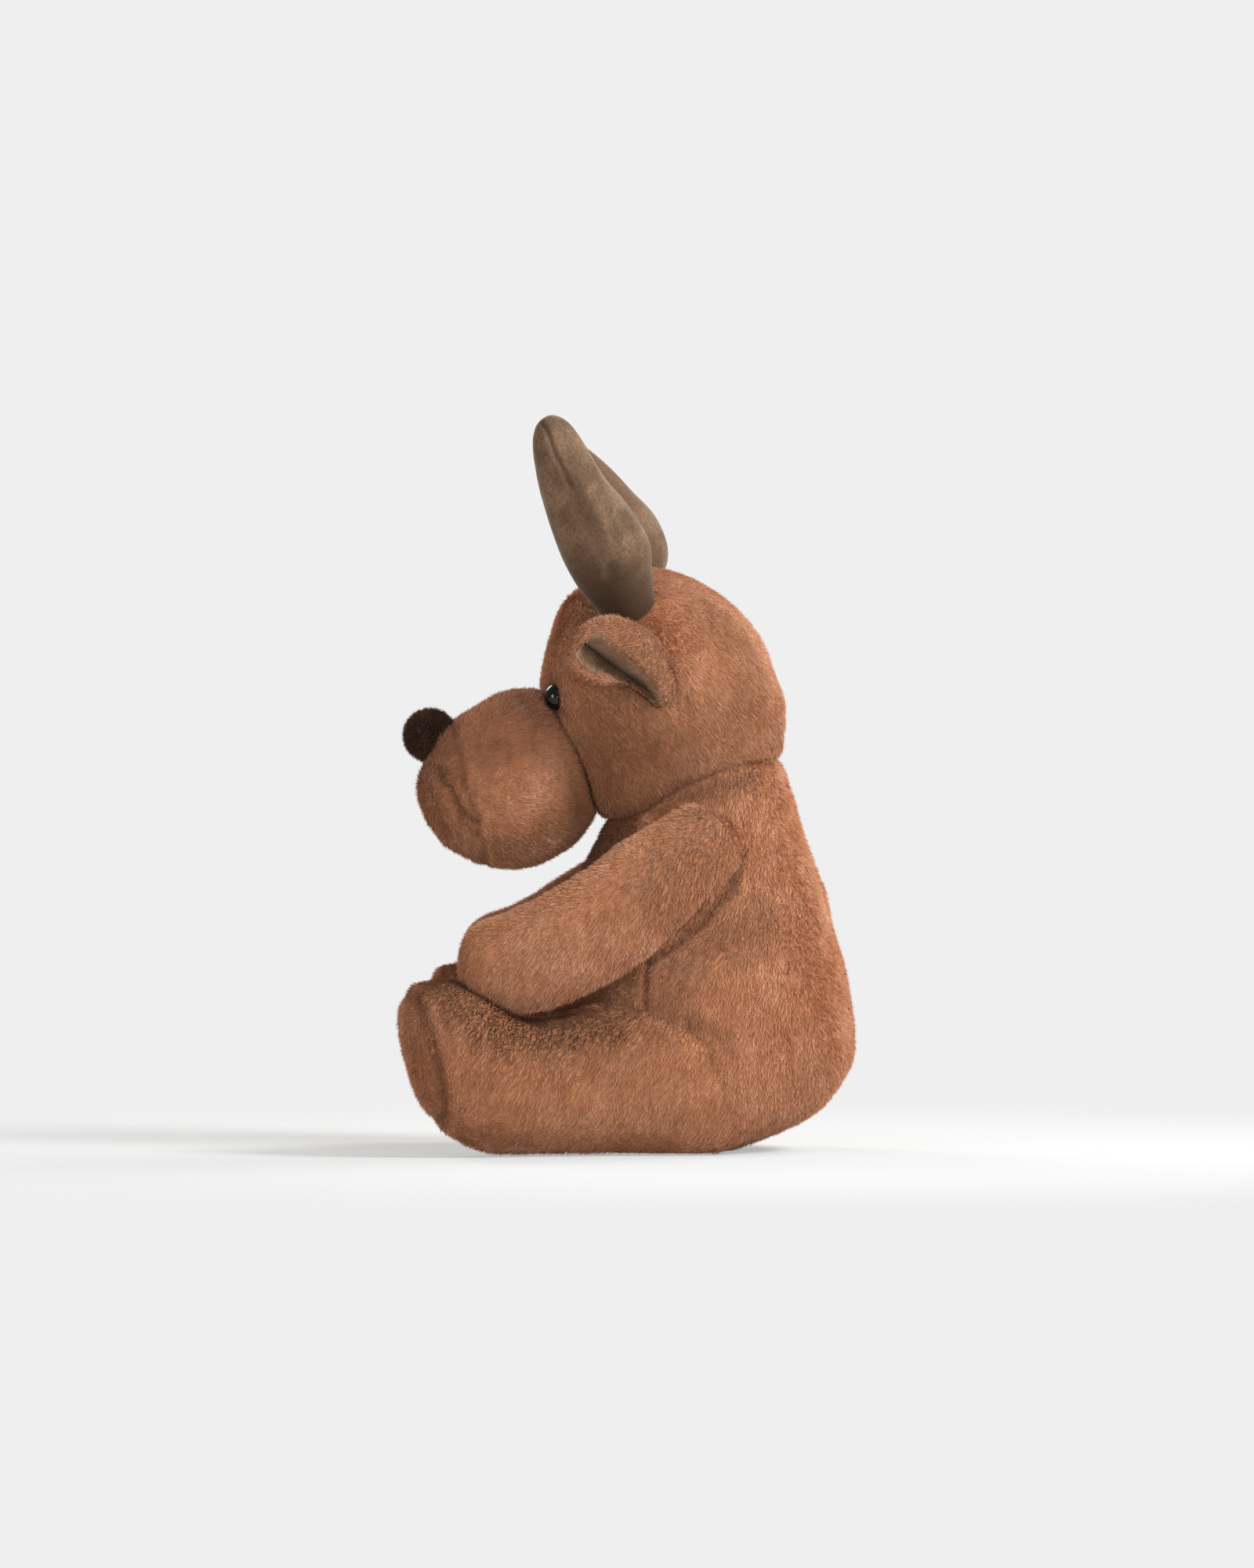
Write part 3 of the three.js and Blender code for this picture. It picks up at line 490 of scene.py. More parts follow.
def softJoin(form, trees, reachAt):
    # swells a form towards its neighbours in turn, so that the skins run into each other
    found = []
    for tree in trees:
        reach = reachAt(form["points"])
        away = depthIn(form["points"], tree)
        near = np.clip(1 - np.abs(away) / np.maximum(reach, 1e-6), 0, 1)
        push(form, near * near * reach / 4)
        found.append(away)
    return np.min(found, axis=0)


def awayFromPath(points, path):
    best = np.full(len(points), 1e9)
    for a, b in zip(np.array(path[:-1], float), np.array(path[1:], float)):
        along = np.clip(((points - a) @ (b - a)) / ((b - a) @ (b - a)), 0, 1)
        best = np.minimum(best, np.linalg.norm(points - a - along[:, None] * (b - a), axis=1))
    return best


def pressed(away, width):
    return np.clip(1 - (away / width) ** 2, 0, 1) ** 2


def groove(form, away, width, depth, shade, puff):
    # a sewn line: pulled in along its middle, with the filling swelling beside it, and painted shade along it
    beside = pressed(away - 1.6 * width, 1.2 * width)
    push(form, puff * beside - depth * pressed(away, width))
    darken(form, shade * pressed(away, 1.3 * width))


def limited(away, keep):
    # a seam only where keep is 1
    return away + 100 * (1 - keep)


def creased(form, away, width, depth, shade, keep):
    # a sewn join: both skins are drawn in along the line where they meet, with painted shade along it
    groove(form, limited(np.abs(away), keep), width, depth, shade, 0.3 * depth)


def foldsOn(form, folds, puffShare, mirrored=False):
    # folds: path, width, depth, shade
    for path, width, depth, shade in folds:
        for sign in (1, -1) if mirrored else (1,):
            away = awayFromPath(form["points"], np.array(path) * (sign, 1, 1))
            groove(form, away, width, depth, shade, depth * puffShare)


def sideFoldsOn(form, folds, puffShare=0.0):
    # paths of forward place and height, drawn on whatever faces sideways there
    for path, width, depth, shade in folds:
        keep = ramp(np.abs(normalsOf(form)[:, 0]), 0.05, 0.4)
        away = limited(awayFromPath(form["points"][:, 1:], path), keep)
        groove(form, away, width, depth, shade, depth * puffShare)


napSeeds = (1.3, 6.7, 12.1)  # one for each direction that the nap wanders in


def wavy(points, scale, seed):
    # gentle lumps in the filling, between -1 and 1
    offset = Vector((seed, 2 * seed, 3 * seed))
    return np.array([noise.noise(Vector(point) / scale + offset) for point in points.tolist()])


def lumpy(form, *lumps):
    # lumps: height, size, seed
    push(form, sum(height * wavy(form["points"], size, seed) for height, size, seed in lumps))


def combed(form, direction, unrest=0.5, scale=14.0):
    # which way the pile lies at each point: along the skin, with a little unrest
    normals = normalsOf(form)
    wander = np.stack([wavy(form["points"], scale, seed) for seed in napSeeds], 1)
    way = unit(direction) + unrest * wander
    form["nap"] = unit(way - normals * np.einsum("ij,ij->i", way, normals)[:, None])


# body, from the floor up
headShadow = ([(14, 151), (34, 157), (51, 163)], 8.0, 0.0, 0.6)  # painted shadow of the head on the shoulder
torso = {
    "base": (0, 31.8, 0), "height": 176, "depth": 135, "width": 123, "inset": 1.7,
    "outline": [  # height, front, back, width
        (0.012, -0.02, 0.0, 0.02), (-0.003, -0.26, 0.08, 0.5), (0.034, -0.32, 0.225, 0.76),
        (0.08, -0.35, 0.35, 0.86), (0.125, -0.375, 0.422, 0.93), (0.21, -0.43, 0.49, 0.975),
        (0.295, -0.48, 0.5, 0.99), (0.38, -0.5, 0.49, 0.985), (0.466, -0.481, 0.468, 0.945),
        (0.551, -0.448, 0.43, 0.885), (0.636, -0.411, 0.405, 0.82), (0.722, -0.37, 0.367, 0.75),
        (0.801, -0.315, 0.332, 0.685), (0.886, -0.25, 0.3, 0.65), (0.955, -0.14, 0.262, 0.57),
        (1, 0.02, 0.2, 0.3), (1.01, 0.1, 0.12, 0.02)],
    "centreBack": (3.0, 1.1, 0.25, 0.5), "sideSeam": (2.4, 1.0, 0.6, 0.5),  # width, depth, shade, puff
    "folds": [  # where the arm and the thigh pull on the flank, with painted shade in the creases
        ([(58, 24, 98), (58, 44, 103), (52, 66, 107), (40, 80, 110)], 11.0, 2.4, 0.25),
        ([(60, 20, 84), (60, 38, 88), (56, 56, 90)], 9.0, 1.2, 0.1),
        ([(62, -30, 60), (66, -6, 65.5), (66, 8, 65), (64, 18, 61), (62, 27, 56.5)], 5.0, 1.8, 0.7),
        ([(60, 30, 53), (58, 42, 48)], 9.0, 1.0, 0.2),
    ],
    "sideFolds": [  # painted shade behind and below the arm, a crease beside it with painted shadow, and the head's painted shadow
        ([(16, 58), (20, 78), (32, 92), (56, 99)], 14.0, 0.0, 0.4),
        ([(9, 83), (21, 91), (32, 99.5), (45.5, 115.5), (49, 130)], 4.4, 2.2, 0.7),
        headShadow,
    ],
}
head = {
    "base": (0, 15.8, 144), "height": 109, "depth": 107, "width": 105, "inset": 1.7,
    "outline": [
        (-0.003, -0.125, -0.115, 0.02), (0, -0.23, -0.02, 0.36), (0.03, -0.27, 0.06, 0.55),
        (0.07, -0.3, 0.14, 0.66), (0.13, -0.333, 0.255, 0.75), (0.19, -0.366, 0.405, 0.82),
        (0.27, -0.413, 0.484, 0.89), (0.37, -0.455, 0.496, 0.96), (0.47, -0.49, 0.493, 0.99),
        (0.57, -0.5, 0.46, 1), (0.66, -0.488, 0.427, 0.98), (0.74, -0.467, 0.384, 0.93),
        (0.82, -0.441, 0.319, 0.84), (0.89, -0.394, 0.24, 0.71), (0.95, -0.31, 0.148, 0.52),
        (0.985, -0.198, 0.054, 0.3), (1, -0.11, -0.02, 0.12), (1.002, -0.07, -0.06, 0.02)],
    "socket": (20.5, -33.0, 197.0),
    "sideFolds": [  # painted shadow under the ear and between ear and antler, and the back of the head darkened lower down
        ([(-14, 205), (-8, 203), (6, 195)], 9.0, 0.0, 0.42),
        ([(-18, 234), (-4, 233)], 6.0, 0.0, 0.6),
        ([(34, 232), (51, 216), (50, 196), (42, 182)], 14.0, 0.0, 0.36),
        ([(50, 196), (44, 178)], 13.0, 0.0, 0.42),
    ],
    "folds": [
        ([(46, 40, 188), (40, 54, 184), (26, 64, 180)], 13.0, 1.2, 0.1),
        ([(44, -20, 172), (50, -4, 168), (50, 12, 165)], 15.0, 1.0, 0.15),
        ([(53, 19, 199), (50, 26, 192)], 8.0, 1.6, 0.3),
    ],
    "pile": {"unrest": 0.14, "tuft": 0.25, "lean": 62},
}
muzzle = {
    "seat": (0, -28.15, 173.04), "length": 68.0, "height": 75.4, "width": 71, "tilt": 24, "inset": 1.7,
    "outline": [  # from the seam, top, bottom, width
        (-0.1, 0.28, -0.27, 0.55), (0, 0.41, -0.425, 0.76), (0.11, 0.453, -0.495, 0.88),
        (0.21, 0.468, -0.526, 0.95), (0.39, 0.46, -0.545, 1), (0.51, 0.444, -0.534, 0.99),
        (0.63, 0.418, -0.5, 0.95), (0.76, 0.352, -0.425, 0.86), (0.86, 0.276, -0.325, 0.72),
        (0.94, 0.2, -0.235, 0.52), (0.985, 0.07, -0.09, 0.2), (0.992, 0.0, -0.02, 0.03)],
    "frontSeam": (0, -69.5, 156.0), "frontTilt": 14,
    "sideFolds": [  # four at the mouth, with painted shade in them, and painted shade below and above the cheek
        ([(-82.8, 166.4), (-80.9, 161.7), (-76.9, 157.1), (-74.2, 151.1), (-71.6, 145.9), (-66.3, 143.1)],
         3.2, 1.5, 0.6),
        ([(-72.5, 147.5), (-70.5, 140.5), (-66.0, 137.0)], 2.6, 1.1, 0.5),
        ([(-78.5, 164.5), (-74.5, 163.0)], 4.0, 1.0, 0.35),
        ([(-62.0, 160.0), (-48.0, 152.0)], 12.0, -0.8, 0.0),
        ([(-60.0, 133.0), (-40.0, 138.0), (-26.0, 150.0)], 8.0, 0.0, 0.25),
        ([(-48.0, 194.0), (-34.0, 188.0)], 9.0, 0.0, 0.3),
    ],
}
leg = {
    "root": (34, 27.8, 28), "radius": 28.5, "length": 126.5, "footHeight": 76, "width": 59, "splay": 15,
    "soleTilt": 12.5, "inset": 1.7, "soleSeam": 10,
    "outline": [  # along, top, bottom, width, lean of the sole
        (0.1, 0.87, -0.007, 1.03, 0), (0.17, 0.9, -0.007, 1.03, 0), (0.31, 0.875, -0.007, 0.98, 0),
        (0.48, 0.795, -0.007, 0.93, 0), (0.6, 0.8, -0.007, 0.95, 0), (0.71, 0.91, 0, 0.99, 0.3),
        (0.8, 0.995, 0.02, 1, 0.7), (0.88, 1.0, 0.065, 0.98, 1), (0.935, 0.965, 0.145, 0.87, 1),
        (0.973, 0.87, 0.25, 0.64, 1), (0.992, 0.75, 0.4, 0.32, 1)],
    # the first puffs the leg's top and carries the arm's painted shadow; the second is the hip crease with
    # painted shade
    "folds": [
        ([(62, -82, 78), (68, -72, 71), (72, -57, 61), (72, -44, 57), (70, -28, 56), (66, -12, 57),
          (60, 2, 63)], 12.0, -0.5, 1.0),
        ([(66, -8, 67), (65, 8, 65), (63, 20, 60)], 5.0, 1.2, 0.5),
        ([(78, -40, 62), (82, -30, 40)], 12.0, 0.9, 0.0),
    ],
    # the arm's painted shadow on the leg, as forward place and height
    "armShadow": [(-84, 76), (-66, 62), (-50, 53), (-32, 51), (-8, 56)],
    # painted shade on the thigh's side
    "sideFolds": [([(-8, 50), (16, 54)], 10.0, 0.0, 0.3)],
    "bend": ((36, 30, 28), (52, -16, 28)), "nodes": ("leg_cover", "leg_filling", "sole"), "seed": 30,
    "far": {"back": 9, "taller": 0.055, "shade": 0.55},
}
arm = {
    "root": (41.4, 28.8, 131), "radius": 19.5, "reach": 96, "width": 45, "thickness": 36, "inset": 1.7,
    "outline": [  # outward, forward, up, width, thickness
        (0.13, 0.19, -0.145, 0.98, 1.03), (0.2, 0.36, -0.285, 1.04, 1), (0.235, 0.54, -0.4, 1.06, 0.98),
        (0.225, 0.69, -0.468, 1.04, 0.98), (0.205, 0.825, -0.507, 1.0, 0.95),
        (0.195, 0.93, -0.518, 0.9, 0.84), (0.19, 1.0, -0.524, 0.72, 0.64),
        (0.187, 1.038, -0.527, 0.42, 0.34)],
    "underside": [(61, 36, 110), (66, 24, 92), (66, 6, 78), (64, -16, 70), (61, -40, 64), (59, -56, 63)],
    "folds": [  # the pull of the shoulder's stitches, with painted shade, and painted shade along the arm's rear edge
        ([(56, 43, 155), (58, 45, 148), (58, 47, 138), (56, 50, 128)], 3.0, 1.6, 0.6),
        ([(60, 30, 139), (63, 14, 128), (65, 0, 118)], 12.0, 1.0, 0.0),
        ([(62, 40, 146), (62, 34, 140)], 5.0, 1.0, 0.2),
        ([(66, 24, 100), (67, 33, 112), (64, 42, 130)], 9.0, 0.2, 0.5),
    ],
    # painted shade down the upper arm, and the head's painted shadow on the arm's top and on the shoulder
    "sideFolds": [
        ([(38, 146), (26, 128), (12, 115)], 19.0, 0.0, 0.48),
        ([(4, 146), (24, 150)], 9.0, 0.0, 0.35),
        headShadow,
    ],
    "bend": ((47, 30, 132), (56, 2, 112)), "nodes": ("arm_cover", "arm_filling"), "seed": 34,
    "far": {"shift": (0, -1.0, 1.4)},
}


def muzzleForm(rings, around):
    level, top, bottom, wide = smoothRows(muzzle["outline"], rings).T
    tilt = math.radians(muzzle["tilt"])
    rise = np.array([0, -math.sin(tilt), math.cos(tilt)])
    way = np.array([0, -math.cos(tilt), -math.sin(tilt)])
    inset = muzzle["inset"]
    along = level * muzzle["length"] - inset * ramp(level, 0.5, 1)
    centres = (np.array(muzzle["seat"]) + way * along[:, None]
               + rise * ((top + bottom) / 2 * muzzle["height"])[:, None])
    halfWide = np.maximum(wide * muzzle["width"] / 2 - inset, 0.5)[:, None]
    halfHigh = np.maximum((top - bottom) / 2 * muzzle["height"] - inset, 0.5)[:, None]
    return ringForm(centres, np.array([1, 0, 0]) * halfWide, rise * halfHigh, around,
                    centres[0] - way * 4, centres[-1] + way * 0.3)


def legForm(rings, around):
    splay = math.radians(leg["splay"])
    way = np.array([math.sin(splay), -math.cos(splay), 0])
    soleWay = unit(way + np.array([0, 0, -math.tan(math.radians(leg["soleTilt"]))]))
    root = np.array(leg["root"], float)
    stations = []
    for along, top, bottom, wide, tilted in leg["outline"]:
        centre = root + way * along * leg["length"]
        centre[2] = (top + bottom) / 2 * leg["footHeight"]
        stations.append((centre, wide * leg["width"] / 2, (top - bottom) / 2 * leg["footHeight"],
                         unit(way + (soleWay - way) * tilted)))
    return limbForm(root, leg["radius"], stations, (0, 0, 1), rings, around, leg["inset"])


def armForm(rings, around):
    root = np.array(arm["root"], float)
    stations = stationsAlong(root, root, arm["outline"], arm["reach"], arm["width"], arm["thickness"])
    return limbForm(root, arm["radius"], stations, (1, 0, 0), rings, around, arm["inset"])


torsoShape = stackedForm(torso, 120, 220)
headShape = stackedForm(head, 100, 190)
muzzleShape = muzzleForm(70, 130)
legShape = legForm(90, 130)
armShape = armForm(84, 100)
print("forms")

torsoTree, headTree, muzzleTree = treeOf(torsoShape), treeOf(headShape), treeOf(muzzleShape)
legTree, armTree = treeOf(legShape), treeOf(armShape)
otherLegTree, otherArmTree = treeOf(mirrorForm(legShape)), treeOf(mirrorForm(armShape))


def hipReach(points):
    # the flank runs into the thigh low on the side, with a crease on the top
    low = 1 - ramp(points[:, 2], 42, 60)
    return 3 + 21 * low * ramp(np.abs(points[:, 0]), 30, 50)


def shoulderReach(points):
    return 3.0 + 4.0 * ramp(points[:, 2], 148, 160) + 5.0 * ramp(points[:, 1], 40, 48)


def muzzleReach(points):
    return np.full(len(points), 4.0)


def neckShade(form):
    # painted shade in the neck crease, darkest at the front under the jaw
    return 0.75 - 0.6 * ramp(form["points"][:, 1], 5, 45)


def onSide(form):
    return ramp(np.abs(form["points"][:, 0]), 40, 50)


def keepPile(form, depth, hidden=6.0):
    # hidden: how deep inside its neighbour a skin keeps its pile, for when the joint moves
    form["cover"] = (depth > -hidden).astype(float)


inLegs = softJoin(torsoShape, (legTree, otherLegTree), hipReach)
inArms = softJoin(torsoShape, (armTree, otherArmTree), shoulderReach)
inHead = depthIn(torsoShape["points"], headTree)
creased(torsoShape, inArms, 3.4, 2.2, 1.0, onSide(torsoShape))
creased(torsoShape, inHead, 3.5, 0.5, neckShade(torsoShape), 1.0)
keepPile(torsoShape, np.minimum(np.minimum(inLegs, inArms), inHead))

keepPile(legShape, softJoin(legShape, (torsoTree,), hipReach))
armInTorso = softJoin(armShape, (torsoTree,), shoulderReach)
keepPile(armShape, armInTorso)
creased(armShape, armInTorso, 3.2, 1.7, 0.9, onSide(armShape))
headInMuzzle = depthIn(headShape["points"], muzzleTree)
keepPile(headShape, np.minimum(depthIn(headShape["points"], torsoTree), headInMuzzle))
creased(headShape, headInMuzzle, 2.8, 1.1, 0.9, 1.0)
creased(headShape, depthIn(headShape["points"], torsoTree), 3.5, 0.5, neckShade(headShape), 1.0)
muzzleInHead = softJoin(muzzleShape, (headTree,), muzzleReach)
keepPile(muzzleShape, muzzleInHead, 3.0)
creased(muzzleShape, muzzleInHead, 2.8, 1.1, 0.9, 1.0)
print("neighbouring skins joined")


def sewTorso(form):
    p = form["points"]
    backSide = ramp(p[:, 1], 30, 40)
    groove(form, limited(np.abs(p[:, 0] + 0.6 * np.sin(p[:, 2] / 9)), backSide), *torso["centreBack"])
    p = form["points"]
    onFlank = ramp(p[:, 2], 52, 60) * (1 - ramp(p[:, 2], 118, 126)) * ramp(np.abs(p[:, 0]), 34, 42)
    groove(form, limited(np.abs(p[:, 1] - 8.6 - 0.03 * (p[:, 2] - 70)), onFlank), *torso["sideSeam"])
    p = form["points"]
    # painted shade on the belly between arm and leg, stronger on the chest under the chin
    belly = 1 - ramp(p[:, 1], 3, 9)
    darken(form, (0.45 + 0.35 * ramp(p[:, 2], 100, 130)) * belly)
    foldsOn(form, torso["folds"], 0.25, mirrored=True)
    sideFoldsOn(form, torso["sideFolds"])
    lumpy(form, (0.9, 30.0, 1.0), (0.35, 9.0, 2.0))


def sewLeg(form):
    p = form["points"]
    splay, tilt = math.radians(leg["splay"]), math.radians(leg["soleTilt"])
    way = unit([math.sin(splay), -math.cos(splay), -math.tan(tilt)])
    ahead = np.array([math.sin(splay), -math.cos(splay), 0])
    seam = np.array(leg["root"], float) + ahead * (leg["length"] - leg["soleSeam"])
    out = (p - seam) @ way
    # the sole is a flatter panel with a sewn edge
    form["points"] = p - way * (np.maximum(out - 4.5, 0) * 0.5 * ramp(out, 2, 9))[:, None]
    darken(form, 0.08 * ramp(out, 0.5, 3))
    groove(form, np.abs(out), 2.8, 1.2, 0.5, 0.35)
    foldsOn(form, leg["folds"], 0.2)
    # painted shadow of the arm on the leg, with streaked edges
    outerSide = ramp(normalsOf(form)[:, 0], -0.3, 0.1)
    streaks = wavy(form["points"] * np.array([1, 1, 0.25]), 5.0, 31.0)
    armShadow = limited(awayFromPath(form["points"][:, 1:], leg["armShadow"]) + 8 * streaks, outerSide)
    darken(form, pressed(armShadow, 1.3 * 14.0))
    darken(form, 0.42 * pressed(armShadow, 1.3 * 23.0))
    sideFoldsOn(form, leg["sideFolds"])
    lumpy(form, (0.9, 24.0, 3.0), (0.35, 8.0, 4.0))


def sewArm(form):
    groove(form, awayFromPath(form["points"], arm["underside"]), 3.4, 1.3, 0.3, 0.6)
    foldsOn(form, arm["folds"], 0.2)
    # painted shade over the whole arm
    darken(form, 0.08)
    sideFoldsOn(form, arm["sideFolds"])
    lumpy(form, (0.8, 20.0, 5.0), (0.35, 8.0, 6.0))


def sewMuzzle(form):
    tilt = math.radians(muzzle["frontTilt"])
    way = np.array([0, -math.cos(tilt), -math.sin(tilt)])
    out = (form["points"] - np.array(muzzle["frontSeam"])) @ way + 1.6 * wavy(form["points"], 9.0, 21.0)
    # painted shade on the muzzle's front panel
    darken(form, 0.3 * ramp(out, -1.5, 2))
    groove(form, np.abs(out), 2.6, 0.55, 0.42, 0.2)
    sideFoldsOn(form, muzzle["sideFolds"], 0.25)
    onFront = ramp(out, 2, 5) * (1 - ramp(form["points"][:, 2], 168, 172))
    groove(form, limited(np.abs(form["points"][:, 0]), onFront), 2.6, 1.4, 0.6, 0.5)
    lumpy(form, (0.9, 16.0, 7.0), (0.4, 6.0, 8.0))


def sewHead(form):
    # sockets round the eyes, with painted shade in them, and the crown's middle seam
    for side in (-1, 1):
        socket = np.linalg.norm(form["points"] - np.array(head["socket"]) * (side, 1, 1), axis=1)
        groove(form, socket, 11.0, 0.4, 0.85, 0.2)
    p = form["points"]
    onCrown = ramp(p[:, 1], 8, 16) * ramp(p[:, 2], 176, 186)
    groove(form, limited(np.abs(p[:, 0]), onCrown), 2.6, 0.9, 0.2, 0.4)
    p = form["points"]
    # painted shade on the lower head and the cheeks, weaker near the muzzle and at the back
    low = 1 - ramp(p[:, 2], 172, 222)
    behindMuzzle = 0.7 + 0.3 * ramp(p[:, 1], -25, -5)
    darken(form, 0.42 * low * behindMuzzle * (1 - 0.4 * ramp(p[:, 1], 30, 55)))
    sideFoldsOn(form, head["sideFolds"])
    foldsOn(form, head["folds"], 0.2, mirrored=True)
    lumpy(form, (0.9, 26.0, 9.0), (0.35, 8.0, 10.0))


def pressFlat(form, level=0.3, pileFrom=1.2):
    # the floor presses the underside flat, and no pile shows there
    z = form["points"][:, 2]
    form["points"][:, 2] = np.where(z < level, level, z)
    form["cover"] = form["cover"] * (form["points"][:, 2] > pileFrom)


sewTorso(torsoShape)
sewLeg(legShape)
sewArm(armShape)
sewMuzzle(muzzleShape)
sewHead(headShape)
pressFlat(torsoShape)
pressFlat(legShape)
legSide = np.array([math.cos(math.radians(leg["splay"])), math.sin(math.radians(leg["splay"])), 0])
fromLegTop = np.clip((legShape["points"] - np.array(leg["root"])) @ legSide / 14, -1, 1)[:, None]
combed(torsoShape, np.array([0, -0.25, -1.0]), 0.35)
combed(headShape, np.array([0, 0.85, -0.85]), 0.18)
combed(muzzleShape, np.array([0, 1.0, -0.1]), 0.35)
combed(legShape, fromLegTop * legSide + np.array([0, -0.45, -0.8]), 0.3)
combed(armShape, np.array([0.35, -0.7, -1.0]), 0.3)
print("seams and folds")


# pile: strands grown on the skins by one node tree
strand = {
    "length": 2.7, "width": 0.44, "density": 2.25, "lean": 55, "unrest": 0.22, "tuft": 0.8,
    "firstSeed": 7, "most": 48000, "quickShare": 0.5, "quickWidth": 1.4,
}


def strandMesh():
    mesh = bpy.data.meshes.new("strand")
    corners = [(math.cos(a) / 2, math.sin(a) / 2, -0.08) for a in (0, 2 * math.pi / 3, 4 * math.pi / 3)]
    mesh.from_pydata(corners + [(0, 0, 1)], [], [(0, 2, 1), (0, 1, 3), (1, 2, 3), (2, 0, 3)])
    mesh.attributes.new("tip", "FLOAT", "POINT").data.foreach_set("value", [0.0, 0.0, 0.0, 1.0])
    return mesh


def pileTree():
    tree = bpy.data.node_groups.new("pile", "GeometryNodeTree")
    sockets = {
        "Geometry": "Geometry", "Density": "Float", "Length": "Float", "Width": "Float", "Lean": "Float",
        "Unrest": "Float", "Tuft": "Float", "Seed": "Int", "Strand": "Object", "Material": "Material",
    }
    for label, kind in sockets.items():
        tree.interface.new_socket(label, in_out="INPUT", socket_type="NodeSocket" + kind)
    tree.interface.new_socket("Geometry", in_out="OUTPUT", socket_type="NodeSocketGeometry")
    start = tree.nodes.new("NodeGroupInput").outputs

    def named(label, kind):
        node = addNode(tree, "GeometryNodeInputNamedAttribute", {"Name": label}, data_type=kind)
        return node.outputs["Attribute"]

    def vectorNode(operation, inputs):
        return addNode(tree, "ShaderNodeVectorMath", inputs, operation=operation).outputs[0]

    def scaled(vector, factor):
        return vectorNode("SCALE", {0: vector, "Scale": factor})

    def random(kind, low, high, step):
        seed = mathNode(tree, "ADD", start["Seed"], step)
        node = addNode(tree, "FunctionNodeRandomValue", {"Seed": seed}, data_type=kind)
        ends = [socket for socket in node.inputs if socket.enabled and socket.name in ("Min", "Max")]
        for socket, value in zip(ends, (low, high)):
            socket.default_value = value
        return next(socket for socket in node.outputs if socket.enabled)

    tuft = addNode(tree, "ShaderNodeTexNoise", {"Scale": 560.0, "Detail": 1.0})
    tuftShade = stretched(tree, tuft.outputs["Fac"], 0.36, 0.64, 0.55)
    tuftWay = vectorNode("SUBTRACT", {0: tuft.outputs["Color"], 1: (0.5, 0.5, 0.5)})
    scatter = addNode(tree, "GeometryNodeDistributePointsOnFaces", {
        "Mesh": start["Geometry"], "Seed": start["Seed"],
        "Density": mathNode(tree, "MULTIPLY", start["Density"], named("cover", "FLOAT"))})
    ownShade = mathNode(tree, "MULTIPLY", random("FLOAT", 0.0, 1.0, 11), 0.45)
    store = addNode(tree, "GeometryNodeStoreNamedAttribute", {
        "Geometry": scatter.outputs["Points"], "Name": "strandShade",
        "Value": mathNode(tree, "ADD", ownShade, tuftShade)}, data_type="FLOAT", domain="POINT")
    lean = mathNode(tree, "MULTIPLY", start["Lean"], random("FLOAT", 0.72, 1.2, 23))
    up = scaled(scatter.outputs["Normal"], mathNode(tree, "COSINE", lean))
    along = scaled(named("nap", "FLOAT_VECTOR"), mathNode(tree, "SINE", lean))
    stray = scaled(random("FLOAT_VECTOR", (-1, -1, -1), (1, 1, 1), 37), start["Unrest"])
    gathered = scaled(tuftWay, start["Tuft"])
    leaning = vectorNode("ADD", {0: up, 1: along})
    astray = vectorNode("ADD", {0: stray, 1: gathered})
    align = addNode(tree, "FunctionNodeAlignRotationToVector", {
        "Vector": vectorNode("ADD", {0: leaning, 1: astray})}, axis="Z")
    size = addNode(tree, "ShaderNodeCombineXYZ", {
        "X": start["Width"], "Y": start["Width"],
        "Z": mathNode(tree, "MULTIPLY", start["Length"], random("FLOAT", 0.6, 1.15, 41))})
    info = addNode(tree, "GeometryNodeObjectInfo", {"Object": start["Strand"]})
    place = addNode(tree, "GeometryNodeInstanceOnPoints", {
        "Points": store.outputs["Geometry"], "Instance": info.outputs["Geometry"],
        "Rotation": align.outputs["Rotation"], "Scale": size.outputs["Vector"]})
    real = addNode(tree, "GeometryNodeRealizeInstances", {"Geometry": place.outputs["Instances"]})
    paint = addNode(tree, "GeometryNodeSetMaterial", {
        "Geometry": real.outputs["Geometry"], "Material": start["Material"]})
    feed(tree.nodes.new("NodeGroupOutput"), {"Geometry": paint.outputs["Geometry"]})
    return tree


pile = pileTree()
strandShape = inScene("strand", strandMesh())


def asObject(name, form, material):
    mesh = bpy.data.meshes.new(name)
    mesh.from_pydata((form["points"] * mm).tolist(), [], form["faces"])
    for label in ("shade", "cover"):
        mesh.attributes.new(label, "FLOAT", "POINT").data.foreach_set("value", form[label].astype(np.float32))
    if "nap" in form:
        nap = mesh.attributes.new("nap", "FLOAT_VECTOR", "POINT")
        nap.data.foreach_set("vector", form["nap"].astype(np.float32).ravel())
    mesh.materials.append(material)
    mesh.shade_smooth()
    return inScene(name, mesh)


def pointsOf(mesh):
    points = np.empty(len(mesh.vertices) * 3)
    mesh.vertices.foreach_get("co", points)
    return points.reshape(-1, 3)


def strandMap(mesh):
    # every strand has its own small cell in the map
    strands = len(mesh.loops) // 12
    rows = math.ceil(math.sqrt(strands))
    cell = [(0.04, 0.9), (0.1, 0.96), (0.16, 0.9)]
    for side in range(3):
        low, high = side / 3 + 0.03, (side + 1) / 3 - 0.03
        cell += [(low, 0.08), (high, 0.08), ((low + high) / 2, 0.82)]
    index = np.arange(strands)
    corner = np.stack([index % rows, index // rows], 1)
    places = (corner[:, None, :] + np.array(cell)[None]) / rows
    layer = mesh.uv_layers.get("OFBake") or mesh.uv_layers.new(name="OFBake")
    layer.uv.foreach_set("vector", places.astype(np.float32).ravel())


